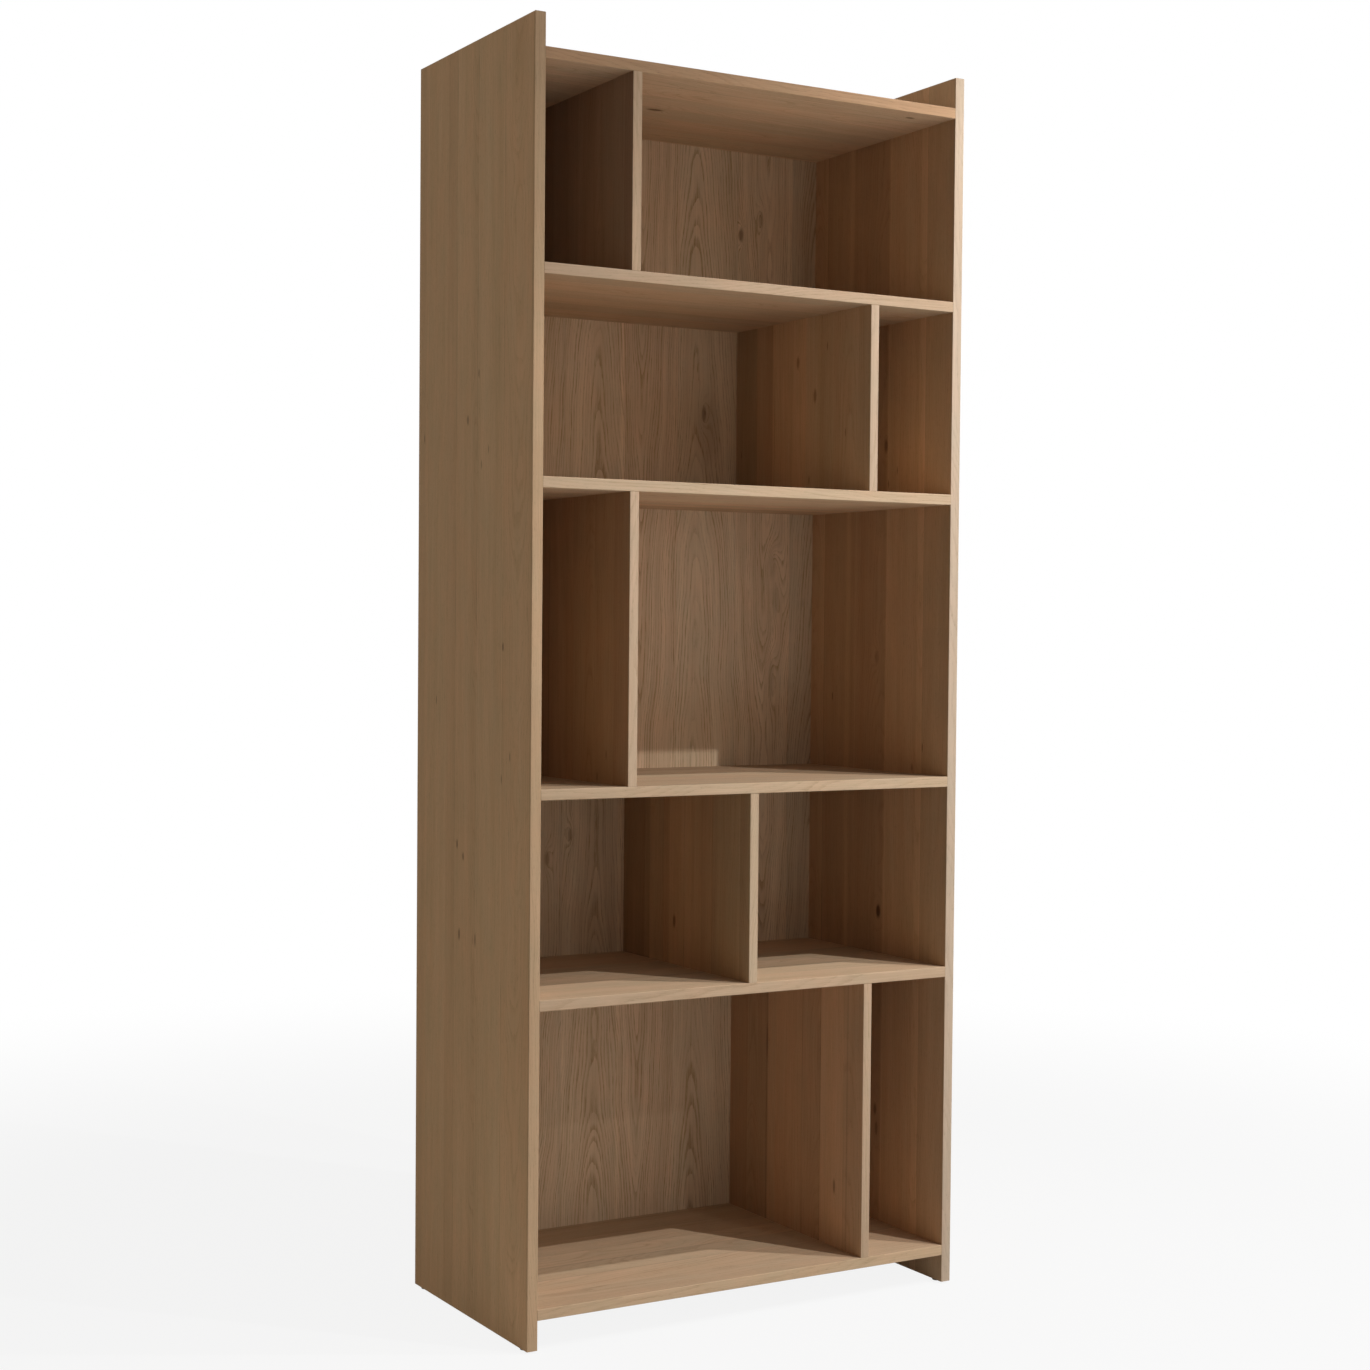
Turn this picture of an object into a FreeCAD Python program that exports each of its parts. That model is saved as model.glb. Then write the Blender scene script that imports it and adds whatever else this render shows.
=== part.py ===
import FreeCAD, Part

import os
import re

import Sketcher

# Five-tier oak bookcase with one divider per tier, glued up on dowels.
# Millimetres. Origin on the floor under the middle of the case, front towards -Y, +Z up.

SIZES = [
    # Case
    ("overall_width", 800, "across the outer faces of the sides"),
    ("overall_depth", 400, "front edge to rear edge of a side"),
    ("side_thickness", 18, "side panel"),
    ("shelf_thickness", 17, "top, shelves and bottom"),
    ("divider_thickness", 16, "upright in a tier"),
    ("back_thickness", 5, "back panel, let into the sides"),
    ("short_tier", 300, "clear height of tiers 1, 2 and 4"),
    ("tall_tier", 450, "clear height of tiers 3 and 5"),
    ("top_rise", 50, "sides above the upper face of the top"),
    ("foot_gap", 48, "floor to the underside of the bottom"),
    ("narrow_bay", 150, "clear width beside a divider that stands off centre"),
    ("edge_ease", 1, "radius on the arrises that hands meet"),
    ("rabbet_width", 9, "lip of the back panel in each side"),
    ("panel_gap", 0.5, "play of the back panel in its rabbets"),
    # Dowels of the boards, then of the dividers
    ("fit_gap", 0.1, "radial play of dowels, screws and nails"),
    ("bore_end_gap", 1, "glue room at the end of a blind bore"),
    ("dowel_diameter", 8, "board dowel"),
    ("dowel_length", 32, "board dowel"),
    ("dowel_in_side", 12, "length of a board dowel in the side"),
    ("dowel_inset", 45, "outer dowel from the front or rear edge"),
    ("pin_diameter", 6, "divider dowel"),
    ("pin_length", 28, "divider dowel"),
    ("pin_in_board", 9, "length of a divider dowel in the board"),
    ("dowel_chamfer", 0.8, "ends of every dowel"),
    # Screws of the back panel
    ("screw_diameter", 3, "shank"),
    ("screw_length", 20, "head to point"),
    ("screw_head", 6, "diameter of the countersunk head"),
    ("screw_point", 3, "length of the tapered point"),
    ("screw_inset", 60, "outer screw of a row from the side"),
    ("recess_width", 0.9, "cross recess, one arm"),
    ("recess_span", 3, "cross recess, tip to tip"),
    ("recess_depth", 1, "cross recess"),
    # Feet
    ("glide_diameter", 15, "nail-on glide under a side"),
    ("glide_height", 3, "lifts the sides off the floor"),
    ("glide_ease", 0.8, "round on the lower rim"),
    ("glide_inset", 24, "glide from the front or rear edge"),
    ("nail_diameter", 2, "shank"),
    ("nail_length", 16, "under the head"),
    ("nail_head", 6, "diameter of the head"),
    ("nail_head_height", 1, "thickness of the head"),
    ("nail_sink", 0.8, "head above the floor"),
    # Wall brackets on the top
    ("bracket_inset", 102, "middle of a bracket from the side beside it"),
    ("bracket_width", 25, "along the wall"),
    ("bracket_leg", 40, "leg on the top"),
    ("bracket_rise", 40, "leg on the wall"),
    ("bracket_thickness", 2, "bent steel strip"),
    ("bracket_bend", 2, "inner radius of the bend"),
    ("bracket_corner", 3, "radius on the corners of both legs"),
    ("wall_hole", 5.5, "diameter of the hole for a wall screw"),
    ("wall_hole_height", 25, "wall hole above the top"),
    ("leg_hole", 4.5, "diameter of the holes in the leg on the top"),
    ("leg_hole_pitch", 14, "between the two holes in the leg"),
    ("leg_hole_reach", 15, "nearer hole from the wall"),
    ("fixing_diameter", 4, "shank of a bracket screw"),
    ("fixing_length", 14, "under its head"),
    ("fixing_point", 3, "length of its tapered point"),
    ("fixing_head", 8, "diameter of its domed head"),
    ("fixing_head_height", 2.4, "height of its domed head"),
    ("fixing_dome", 2, "round on the rim of its head"),
]

# The board above, the board below, the clear height and the divider's place, from the top down.
TIERS = [
    ("top_panel", "shelf_1", "short_tier", "left"),
    ("shelf_1", "shelf_2", "short_tier", "right"),
    ("shelf_2", "shelf_3", "tall_tier", "left"),
    ("shelf_3", "shelf_4", "short_tier", "centre"),
    ("shelf_4", "bottom_panel", "tall_tier", "right"),
]
BOARDS = [tier[0] for tier in TIERS] + ["bottom_panel"]
DIVIDER_X = {"left": "-divider_reach", "centre": "0", "right": "divider_reach"}
HANDS = {"left": -1, "right": 1}

WORKED_OUT = [
    ("inner_width", "overall_width - 2 * side_thickness"),
    ("inner_depth", "overall_depth - back_thickness"),
    ("back_face", "overall_depth / 2 - back_thickness"),
    ("board_y", "-back_thickness / 2"),
    ("row_reach", "inner_depth / 2 - dowel_inset"),
    ("screw_reach", "inner_width / 2 - screw_inset"),
    ("divider_reach", "inner_width / 2 - narrow_bay - divider_thickness / 2"),
    ("bracket_reach", "inner_width / 2 - bracket_inset"),
    ("bottom_panel_z", "foot_gap + shelf_thickness / 2"),
]
WORKED_OUT += [
    (f"{above}_z", f"{below}_z + shelf_thickness + {height}")
    for above, below, height, divider in reversed(TIERS)
]
WORKED_OUT += [
    ("top_face", "top_panel_z + shelf_thickness / 2"),
    ("overall_height", "top_face + top_rise"),
    ("back_height", "top_face - foot_gap"),
    ("back_centre", "(top_face + foot_gap) / 2"),
    ("dowel_bore", "dowel_diameter / 2 + fit_gap"),
    ("pin_bore", "pin_diameter / 2 + fit_gap"),
    ("screw_bore", "screw_diameter / 2 + fit_gap"),
    ("screw_depth", "screw_length - back_thickness + bore_end_gap"),
    ("nail_bore", "nail_diameter / 2 + fit_gap"),
    ("nail_seat", "nail_sink + nail_head_height"),
]

# Places along a row, as shares of its reach, and of the back screws in a side, up a tier.
ROW_SHARES = (-1, 0, 1)
SCREW_SHARES = (-1, -1 / 3, 1 / 3, 1)
SIDE_SCREW_SHARES = {"short_tier": (1 / 2,), "tall_tier": (1 / 4, 3 / 4)}
# How near an edge lies to the face that it belongs to, as a share of the piece's diagonal.
TOUCH_SHARE = 1e-5

doc = FreeCAD.newDocument("bookcase")
nodes = []


def fill_sheet():
    """Write the driving sizes as plain numbers and the worked-out ones as formulas."""
    sheet = doc.addObject("Spreadsheet::Sheet", "sizes")
    rows = [(alias, str(value), note) for alias, value, note in SIZES]
    rows += [(alias, "=" + formula, "worked out") for alias, formula in WORKED_OUT]
    for number, (alias, content, note) in enumerate(rows, start=1):
        sheet.set(f"A{number}", alias)
        sheet.set(f"B{number}", content)
        sheet.set(f"C{number}", note)
        sheet.setAlias(f"B{number}", alias)
    doc.recompute()
    return {alias for alias, content, note in rows}


ALIASES = fill_sheet()


def bind(thing, path, formula):
    """Tie one property to a formula in the names of the sheet's cells."""

    def in_sheet(word):
        return f"sizes.{word[0]}" if word[0] in ALIASES else word[0]

    thing.setExpression(path, re.sub(r"[a-z]\w*", in_sheet, formula))


def place(thing, x="0", y="0", z="0"):
    """Tie the three coordinates of an object's place to formulas."""
    bind(thing, "Placement.Base.x", x)
    bind(thing, "Placement.Base.y", y)
    bind(thing, "Placement.Base.z", z)


# Sketches and features


def new_body(label):
    """Start a body that becomes the node of that name."""
    body = doc.addObject("PartDesign::Body", label)
    body.Label = label
    nodes.append(body)
    return body


def plane_of(body, role):
    """One of the body's own origin planes."""
    return next(feature for feature in body.Origin.OriginFeatures if feature.Role == role)


def new_sketch(body, role, offset="0"):
    """Sketch on an origin plane, moved along the plane's normal: +Z, -Y or +X."""
    sketch = body.newObject("Sketcher::SketchObject", "sketch")
    sketch.AttachmentSupport = [(plane_of(body, role), "")]
    sketch.MapMode = "FlatFace"
    bind(sketch, "AttachmentOffset.Base.z", offset)
    return sketch


def hold(sketch, kind, formula, *points):
    """Add one constraint, started at a unit value, and tie it to a formula."""
    number = sketch.addConstraint(Sketcher.Constraint(kind, *points, 1))
    bind(sketch, f"Constraints[{number}]", formula)


def hold_point(sketch, curve, end, x, y):
    """Tie both coordinates of a point of the sketch to formulas."""
    hold(sketch, "DistanceX", x, curve, end)
    hold(sketch, "DistanceY", y, curve, end)


def polygon(sketch, points):
    """Closed outline through pairs of formulas, started as a regular polygon on a unit circle."""
    turn = FreeCAD.Rotation(FreeCAD.Vector(0, 0, 1), 360 / len(points))
    corners = [FreeCAD.Vector(1, 0, 0)]
    for point in points:
        corners.append(turn.multVec(corners[-1]))
    for start, end in zip(corners, corners[1:]):
        sketch.addGeometry(Part.LineSegment(start, end))
    for number, (x, y) in enumerate(points):
        following = (number + 1) % len(points)
        sketch.addConstraint(Sketcher.Constraint("Coincident", number, 2, following, 1))
        hold_point(sketch, number, 1, x, y)


def rectangle(sketch, left, right, low, high):
    """Rectangle between four coordinates, each a formula."""
    polygon(sketch, [(left, low), (right, low), (right, high), (left, high)])


def centred_rectangle(sketch, width, height):
    """Rectangle about the sketch's origin."""
    rectangle(sketch, f"-({width}) / 2", f"({width}) / 2", f"-({height}) / 2", f"({height}) / 2")


def circles(sketch, centres, radius):
    """Equal circles at centres given as pairs of formulas."""
    for x, y in centres:
        unit_circle = Part.Circle(FreeCAD.Vector(0, 0, 0), FreeCAD.Vector(0, 0, 1), 1)
        curve = sketch.addGeometry(unit_circle)
        hold(sketch, "Radius", radius, curve)
        hold_point(sketch, curve, 3, x, y)


def pad(body, sketch, length, backwards=False, both_ways=False):
    """Raise a sketch by a length: along its normal, against it, or half each way."""
    feature = body.newObject("PartDesign::Pad", "pad")
    feature.Profile = sketch
    feature.Reversed = backwards
    feature.SideType = "Symmetric" if both_ways else "One side"
    bind(feature, "Length", length)
    doc.recompute()
    return feature


def pocket(body, sketch, length, along_normal=False):
    """Cut a sketch in by a length, against its normal or along it, and see that it cut."""
    volume_before = body.Shape.Volume
    feature = body.newObject("PartDesign::Pocket", "pocket")
    feature.Profile = sketch
    feature.Reversed = along_normal
    bind(feature, "Length", length)
    doc.recompute()
    if not body.Shape.Volume < volume_before:
        raise ValueError(f"a cut missed {body.Label}")
    return feature


def mirror(body, role, feature=None):
    """Repeat one feature, or the whole body so far, on the other side of an origin plane."""
    mirrored = body.newObject("PartDesign::Mirrored", "mirrored")
    if feature is None:
        mirrored.TransformMode = "Whole shape"
    else:
        mirrored.Originals = [feature]
    mirrored.MirrorPlane = (plane_of(body, role), [""])
    body.Tip = mirrored
    doc.recompute()


def ease(body, feature, chosen, size, kind="Fillet"):
    """Round or bevel those edges of a feature that a test picks."""
    names = [f"Edge{n}" for n, edge in enumerate(feature.Shape.Edges, start=1) if chosen(edge)]
    eased = body.newObject(f"PartDesign::{kind}", kind.lower())
    eased.Base = (feature, names)
    bind(eased, {"Fillet": "Radius", "Chamfer": "Size"}[kind], size)
    doc.recompute()
    return eased


def touches(shape, side):
    """Test for edges that lie in one face of a shape's box, such as YMin."""
    face = getattr(shape.BoundBox, side)
    near = shape.BoundBox.DiagonalLength * TOUCH_SHARE
    axis = side[0]

    def lies_there(edge):
        low = getattr(edge.BoundBox, axis + "Min")
        high = getattr(edge.BoundBox, axis + "Max")
        return abs(low - face) < near and abs(high - face) < near

    return lies_there


def ease_front(body, feature):
    """Ease the two long front arrises of a board."""
    in_front = touches(feature.Shape, "YMin")
    longest = max(edge.Length for edge in feature.Shape.Edges if in_front(edge))
    enough = longest * (1 - TOUCH_SHARE)
    ease(body, feature, lambda edge: in_front(edge) and edge.Length > enough, "edge_ease")


# Places that several pieces share, as pairs of formulas


def row_places(x="0", middle="0"):
    """Dowel centres across the depth of the case, X first."""
    return [(x, f"{middle} + {share} * row_reach") for share in ROW_SHARES]


def turned_over(places):
    """The same places with their two coordinates swapped."""
    return [(second, first) for first, second in places]


def board_screw_places(height):
    """Back screws along one board, X and Z."""
    return [(f"{share} * screw_reach", height) for share in SCREW_SHARES]


def side_screw_places(x):
    """Back screws up one side, X and Z."""
    places = []
    for above, below, height, divider in TIERS:
        for share in SIDE_SCREW_SHARES[height]:
            places.append((x, f"{below}_z + shelf_thickness / 2 + {share} * {height}"))
    return places


def back_screw_places():
    """All back screws, X and Z in the case."""
    places = []
    for hand in HANDS.values():
        places += side_screw_places(f"{hand} * (inner_width + rabbet_width) / 2")
    for board in BOARDS:
        places += board_screw_places(f"{board}_z")
    return places


def foot_places(x):
    """Front and rear foot under one side, X and Y."""
    return [(x, f"{end} * (overall_depth / 2 - glide_inset)") for end in (-1, 1)]


def all_foot_places():
    """The four feet in the case, X and Y."""
    middle = "(overall_width - side_thickness) / 2"
    return [foot for hand in HANDS.values() for foot in foot_places(f"{hand} * {middle}")]


def leg_hole_places(x="0", wall="0"):
    """Screw holes in a bracket's leg on the top, X and Y."""
    nearer = f"{wall} - leg_hole_reach"
    return [(x, nearer), (x, f"{nearer} - leg_hole_pitch")]


# Boards


def make_side(label, hand):
    """Side panel, drawn from its inner face outwards."""
    body = new_body(label)
    place(body, x=f"{hand} * inner_width / 2")
    on_right = hand > 0

    outline = new_sketch(body, "YZ_Plane")
    rectangle(outline, "-overall_depth / 2", "overall_depth / 2", "glide_height", "overall_height")
    panel = pad(body, outline, "side_thickness", backwards=not on_right)
    on_foot = touches(panel.Shape, "ZMin")
    ease(body, panel, lambda edge: not on_foot(edge), "edge_ease")

    rabbet = new_sketch(body, "YZ_Plane")
    rectangle(rabbet, "back_face", "overall_depth", "foot_gap - panel_gap", "top_face + panel_gap")
    pocket(body, rabbet, "rabbet_width", along_normal=on_right)

    dowels = new_sketch(body, "YZ_Plane")
    for board in BOARDS:
        circles(dowels, turned_over(row_places(f"{board}_z", "board_y")), "dowel_bore")
    pocket(body, dowels, "dowel_in_side + bore_end_gap", along_normal=on_right)

    screws = new_sketch(body, "XZ_Plane", "-back_face")
    circles(screws, side_screw_places(f"{hand} * rabbet_width / 2"), "screw_bore")
    pocket(body, screws, "screw_depth", along_normal=True)

    nails = new_sketch(body, "XY_Plane", "glide_height")
    circles(nails, foot_places(f"{hand} * side_thickness / 2"), "nail_bore")
    pocket(body, nails, "nail_seat + nail_length - glide_height + bore_end_gap", along_normal=True)


def make_board(label):
    """Top, shelf or bottom, drawn about its own middle, bored for all that it meets."""
    body = new_body(label)
    place(body, y="board_y", z=f"{label}_z")

    outline = new_sketch(body, "XY_Plane")
    centred_rectangle(outline, "inner_width", "inner_depth")
    ease_front(body, pad(body, outline, "shelf_thickness", both_ways=True))

    end = new_sketch(body, "YZ_Plane", "inner_width / 2")
    circles(end, turned_over(row_places()), "dowel_bore")
    bores = pocket(body, end, "dowel_length - dowel_in_side + bore_end_gap")
    mirror(body, "YZ_Plane", bores)

    for above, below, height, divider in TIERS:
        if label not in (above, below):
            continue
        carries_it = label == below
        face = "shelf_thickness / 2" if carries_it else "-shelf_thickness / 2"
        pins = new_sketch(body, "XY_Plane", face)
        circles(pins, row_places(DIVIDER_X[divider]), "pin_bore")
        pocket(body, pins, "pin_in_board + bore_end_gap", along_normal=not carries_it)

    screws = new_sketch(body, "XZ_Plane", "-inner_depth / 2")
    circles(screws, board_screw_places("0"), "screw_bore")
    pocket(body, screws, "screw_depth", along_normal=True)
    return body


def bore_top_for_brackets(body):
    """Pilot holes for the bracket screws in the upper face of the top."""
    fixings = new_sketch(body, "XY_Plane", "shelf_thickness / 2")
    for hand in HANDS.values():
        holes = leg_hole_places(f"{hand} * bracket_reach", "overall_depth / 2 - board_y")
        circles(fixings, holes, "fixing_diameter / 2 + fit_gap")
    pocket(body, fixings, "fixing_length - bracket_thickness + bore_end_gap")


def make_divider(label, above, below, height, divider):
    """Upright of one tier, drawn about its own middle, bored at both ends."""
    body = new_body(label)
    place(body, DIVIDER_X[divider], "board_y", f"({above}_z + {below}_z) / 2")

    outline = new_sketch(body, "XY_Plane")
    centred_rectangle(outline, "divider_thickness", "inner_depth")
    ease_front(body, pad(body, outline, height, both_ways=True))

    end = new_sketch(body, "XY_Plane", f"{height} / 2")
    circles(end, row_places(), "pin_bore")
    bores = pocket(body, end, "pin_length - pin_in_board + bore_end_gap")
    mirror(body, "XY_Plane", bores)


def make_back():
    """Back panel, drawn about its own middle, with countersunk holes from behind."""
    body = new_body("back_panel")
    place(body, y="(overall_depth - back_thickness) / 2", z="back_centre")

    outline = new_sketch(body, "XZ_Plane")
    centred_rectangle(outline, "inner_width + 2 * (rabbet_width - panel_gap)", "back_height")
    pad(body, outline, "back_thickness", both_ways=True)

    centres = new_sketch(body, "XZ_Plane", "-back_thickness / 2")
    circles(centres, [(x, f"{z} - back_centre") for x, z in back_screw_places()], "screw_bore")
    doc.recompute()
    holes = body.newObject("PartDesign::Hole", "holes")
    holes.Profile = centres
    holes.Reversed = True
    holes.ThreadType = "None"
    holes.DepthType = "ThroughAll"
    holes.HoleCutType = "Countersink"
    holes.HoleCutCustomValues = True
    holes.HoleCutCountersinkAngle = 90
    bind(holes, "Diameter", "2 * screw_bore")
    bind(holes, "HoleCutDiameter", "screw_head + 2 * fit_gap")
    doc.recompute()


# Dowels, screws and feet


def turn_dowels(body, end, length, role):
    """Raise dowels inwards from their outer ends, bevel them and repeat them at the other end."""
    bars = pad(body, end, length, backwards=True)
    ease(body, bars, lambda edge: edge.Closed, "dowel_chamfer", kind="Chamfer")
    mirror(body, role)


def make_board_dowels(board):
    """The dowels at both ends of one board."""
    body = new_body(f"{board}_dowels")
    place(body, y="board_y", z=f"{board}_z")
    end = new_sketch(body, "YZ_Plane", "inner_width / 2 + dowel_in_side")
    circles(end, turned_over(row_places()), "dowel_diameter / 2")
    turn_dowels(body, end, "dowel_length", "YZ_Plane")


def make_divider_dowels(label, above, below, height, divider):
    """The thinner dowels at both ends of one divider."""
    body = new_body(f"{label}_dowels")
    place(body, DIVIDER_X[divider], "board_y", f"({above}_z + {below}_z) / 2")
    end = new_sketch(body, "XY_Plane", f"{height} / 2 + pin_in_board")
    circles(end, row_places(), "pin_diameter / 2")
    turn_dowels(body, end, "pin_length", "XY_Plane")


def turned_body(name, profile):
    """Pattern screw turned about Z from an outline of radius and height formulas."""
    body = doc.addObject("PartDesign::Body", name)
    outline = new_sketch(body, "XZ_Plane")
    polygon(outline, profile)
    solid = body.newObject("PartDesign::Revolution", "turned")
    solid.Profile = outline
    solid.ReferenceAxis = (outline, ["V_Axis"])
    solid.Angle = 360
    doc.recompute()
    return body


def cut_cross_recess(body, face):
    """Cut a cross into a screw head from a height on its axis."""
    for width, height in (("recess_span", "recess_width"), ("recess_width", "recess_span")):
        arm = new_sketch(body, "XY_Plane", face)
        centred_rectangle(arm, width, height)
        pocket(body, arm, "recess_depth")


def make_copies(label, pattern, places, turn):
    """One node of equal screws: turned copies of a pattern at X, Y and Z formulas."""
    copies = []
    for x, y, z in places:
        copy = doc.addObject("App::Link", f"{label}_copy")
        copy.LinkedObject = pattern
        copy.Placement = FreeCAD.Placement(FreeCAD.Vector(0, 0, 0), turn)
        place(copy, x, y, z)
        copies.append(copy)
    group = doc.addObject("Part::Compound", label)
    group.Label = label
    group.Links = copies
    nodes.append(group)
    doc.recompute()


def make_back_screws():
    """Countersunk screws of the back panel, heads flush with its rear face."""
    shank = "screw_diameter / 2"
    profile = [
        ("0", "0"),
        ("screw_head / 2", "0"),
        (shank, "(screw_diameter - screw_head) / 2"),
        (shank, "screw_point - screw_length"),
        ("0", "-screw_length"),
    ]
    pattern = turned_body("back_screw", profile)
    cut_cross_recess(pattern, "0")
    places = [(x, "overall_depth / 2", z) for x, z in back_screw_places()]
    head_to_rear = FreeCAD.Rotation(FreeCAD.Vector(1, 0, 0), -90)
    make_copies("back_panel_screws", pattern, places, head_to_rear)


def make_feet():
    """Plastic glides with a sunk seat for a nail, and the four nails."""
    glides = new_body("foot_glides")
    discs = new_sketch(glides, "XY_Plane")
    circles(discs, all_foot_places(), "glide_diameter / 2")
    rounds = pad(glides, discs, "glide_height")
    ease(glides, rounds, touches(rounds.Shape, "ZMin"), "glide_ease")
    for radius, depth in (("nail_head / 2 + fit_gap", "nail_seat"), ("nail_bore", "glide_height")):
        bores = new_sketch(glides, "XY_Plane")
        circles(bores, all_foot_places(), radius)
        pocket(glides, bores, depth, along_normal=True)

    nails = new_body("foot_glide_nails")
    heads = new_sketch(nails, "XY_Plane", "nail_sink")
    circles(heads, all_foot_places(), "nail_head / 2")
    pad(nails, heads, "nail_head_height")
    shanks = new_sketch(nails, "XY_Plane", "nail_seat")
    circles(shanks, all_foot_places(), "nail_diameter / 2")
    pad(nails, shanks, "nail_length")


# Wall brackets


def make_bracket(label, hand):
    """Bent steel angle, drawn from the corner where the wall meets the top of the case."""
    body = new_body(label)
    place(body, f"{hand} * bracket_reach", "overall_depth / 2", "top_face")
    outline = new_sketch(body, "YZ_Plane")
    profile = [
        ("0", "0"),
        ("0", "bracket_rise"),
        ("-bracket_thickness", "bracket_rise"),
        ("-bracket_thickness", "bracket_thickness"),
        ("-bracket_leg", "bracket_thickness"),
        ("-bracket_leg", "0"),
    ]
    polygon(outline, profile)
    angle = pad(body, outline, "bracket_width", both_ways=True)
    bend_bracket(body, angle)

    leg_holes = new_sketch(body, "XY_Plane")
    circles(leg_holes, leg_hole_places(), "leg_hole / 2")
    pocket(body, leg_holes, "bracket_thickness", along_normal=True)
    wall_hole = new_sketch(body, "XZ_Plane")
    circles(wall_hole, [("0", "wall_hole_height")], "wall_hole / 2")
    pocket(body, wall_hole, "bracket_thickness", along_normal=True)


def bend_bracket(body, angle):
    """Round the four corners of the legs, then the bend inside and outside."""
    at_wall, on_top, at_tip, at_toe = [
        touches(angle.Shape, side) for side in ("YMax", "ZMin", "ZMax", "YMin")
    ]
    half_width = angle.Shape.BoundBox.XLength / 2

    def is_long(edge):
        return edge.BoundBox.XLength > half_width

    def is_corner(edge):
        return not is_long(edge) and (at_tip(edge) or at_toe(edge))

    def is_inner_bend(edge):
        return is_long(edge) and not any(side(edge) for side in (at_wall, on_top, at_tip, at_toe))

    def is_outer_bend(edge):
        return is_long(edge) and at_wall(edge) and on_top(edge)

    plate = ease(body, angle, is_corner, "bracket_corner")
    plate = ease(body, plate, is_inner_bend, "bracket_bend")
    ease(body, plate, is_outer_bend, "bracket_bend + bracket_thickness")


def make_bracket_screws():
    """Domed screws that hold the brackets to the top, heads on the legs."""
    shank = "fixing_diameter / 2"
    profile = [
        ("0", "fixing_head_height"),
        ("fixing_head / 2", "fixing_head_height"),
        ("fixing_head / 2", "0"),
        (shank, "0"),
        (shank, "fixing_point - fixing_length"),
        ("0", "-fixing_length"),
    ]
    pattern = turned_body("bracket_screw", profile)
    ease(pattern, pattern.Tip, touches(pattern.Shape, "ZMax"), "fixing_dome")
    cut_cross_recess(pattern, "fixing_head_height")
    places = []
    for hand in HANDS.values():
        holes = leg_hole_places(f"{hand} * bracket_reach", "overall_depth / 2")
        places += [(x, y, "top_face + bracket_thickness") for x, y in holes]
    make_copies("wall_bracket_screws", pattern, places, FreeCAD.Rotation())


# The whole case


def make_case():
    """Build every piece, boards first."""
    for side, hand in HANDS.items():
        make_side(f"{side}_side_panel", hand)
    for board in BOARDS:
        body = make_board(board)
        if board == "top_panel":
            bore_top_for_brackets(body)
        make_board_dowels(board)
    for number, tier in enumerate(TIERS, start=1):
        make_divider(f"divider_{number}", *tier)
        make_divider_dowels(f"divider_{number}", *tier)
    make_back()
    make_back_screws()
    make_feet()
    for side, hand in HANDS.items():
        make_bracket(f"wall_bracket_{side}", hand)
    make_bracket_screws()


def check_case():
    """Stop if any object failed or any node has no sound shape."""
    for thing in doc.Objects:
        if "Invalid" in thing.State or "Error" in thing.State:
            raise ValueError(f"{thing.Label} failed: {thing.State}")
    for node in nodes:
        if node.Shape.isNull() or not node.Shape.isValid() or not node.Shape.Solids:
            raise ValueError(f"{node.Label} has no sound shape")


def write_case():
    """Write one file per node and print what it holds."""
    os.makedirs("parts", exist_ok=True)
    for node in nodes:
        node.Shape.exportStep(f"parts/{node.Label}.step")
        print(f"{node.Label}: {len(node.Shape.Solids)} solids, {node.Shape.Volume:.0f} mm3")


make_case()
doc.recompute()
check_case()
write_case()
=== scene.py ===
"""Looks, light and camera for the five-tier oak bookcase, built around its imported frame.

Every visible board keeps its own solid and gets an oak that is grown in three dimensions: staves
glued side by side, growth rings round a pith that lies under each stave, pores, knots and a thin
oil finish. All patterns read Object coordinates, which are metres in the frame of the case.
"""

from __future__ import annotations

import logging
import math
from dataclasses import astuple, dataclass
from enum import Enum
from typing import Dict, Iterable, Tuple, Union

import bpy
import numpy as np
from mathutils import Matrix, Vector

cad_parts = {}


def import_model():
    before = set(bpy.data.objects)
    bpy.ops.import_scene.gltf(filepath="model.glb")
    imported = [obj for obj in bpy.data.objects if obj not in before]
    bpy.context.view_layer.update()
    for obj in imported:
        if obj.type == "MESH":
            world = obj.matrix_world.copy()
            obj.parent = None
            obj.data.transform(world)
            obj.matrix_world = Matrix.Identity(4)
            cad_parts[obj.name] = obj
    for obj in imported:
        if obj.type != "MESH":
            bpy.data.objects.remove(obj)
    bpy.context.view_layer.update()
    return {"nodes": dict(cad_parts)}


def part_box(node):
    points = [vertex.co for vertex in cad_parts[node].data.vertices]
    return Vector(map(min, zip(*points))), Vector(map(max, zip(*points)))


log = logging.getLogger("bookcase")

MM_PER_M = 1000.0
NOISE_MEAN = 0.5
LEVEL_BOARDS = ("top_panel", "shelf_1", "shelf_2", "shelf_3", "shelf_4", "bottom_panel")

Colour = Tuple[float, float, float]
Place = Tuple[float, float, float]
Span = Tuple[float, float]
Nodes = Dict[str, bpy.types.Object]
Tree = bpy.types.NodeTree
Node = bpy.types.Node
Socket = bpy.types.NodeSocket
Material = bpy.types.Material

WHITE: Colour = (1.0, 1.0, 1.0)
WARM: Colour = (1.0, 0.87, 0.72)

# How large the normal's part along an axis gets on a face square to that axis
SQUARE_ON: Span = (0.60, 0.85)
# How large the largest part of the normal gets on a flat face, next to an eased arris
FLAT: Span = (0.80, 0.98)


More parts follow.
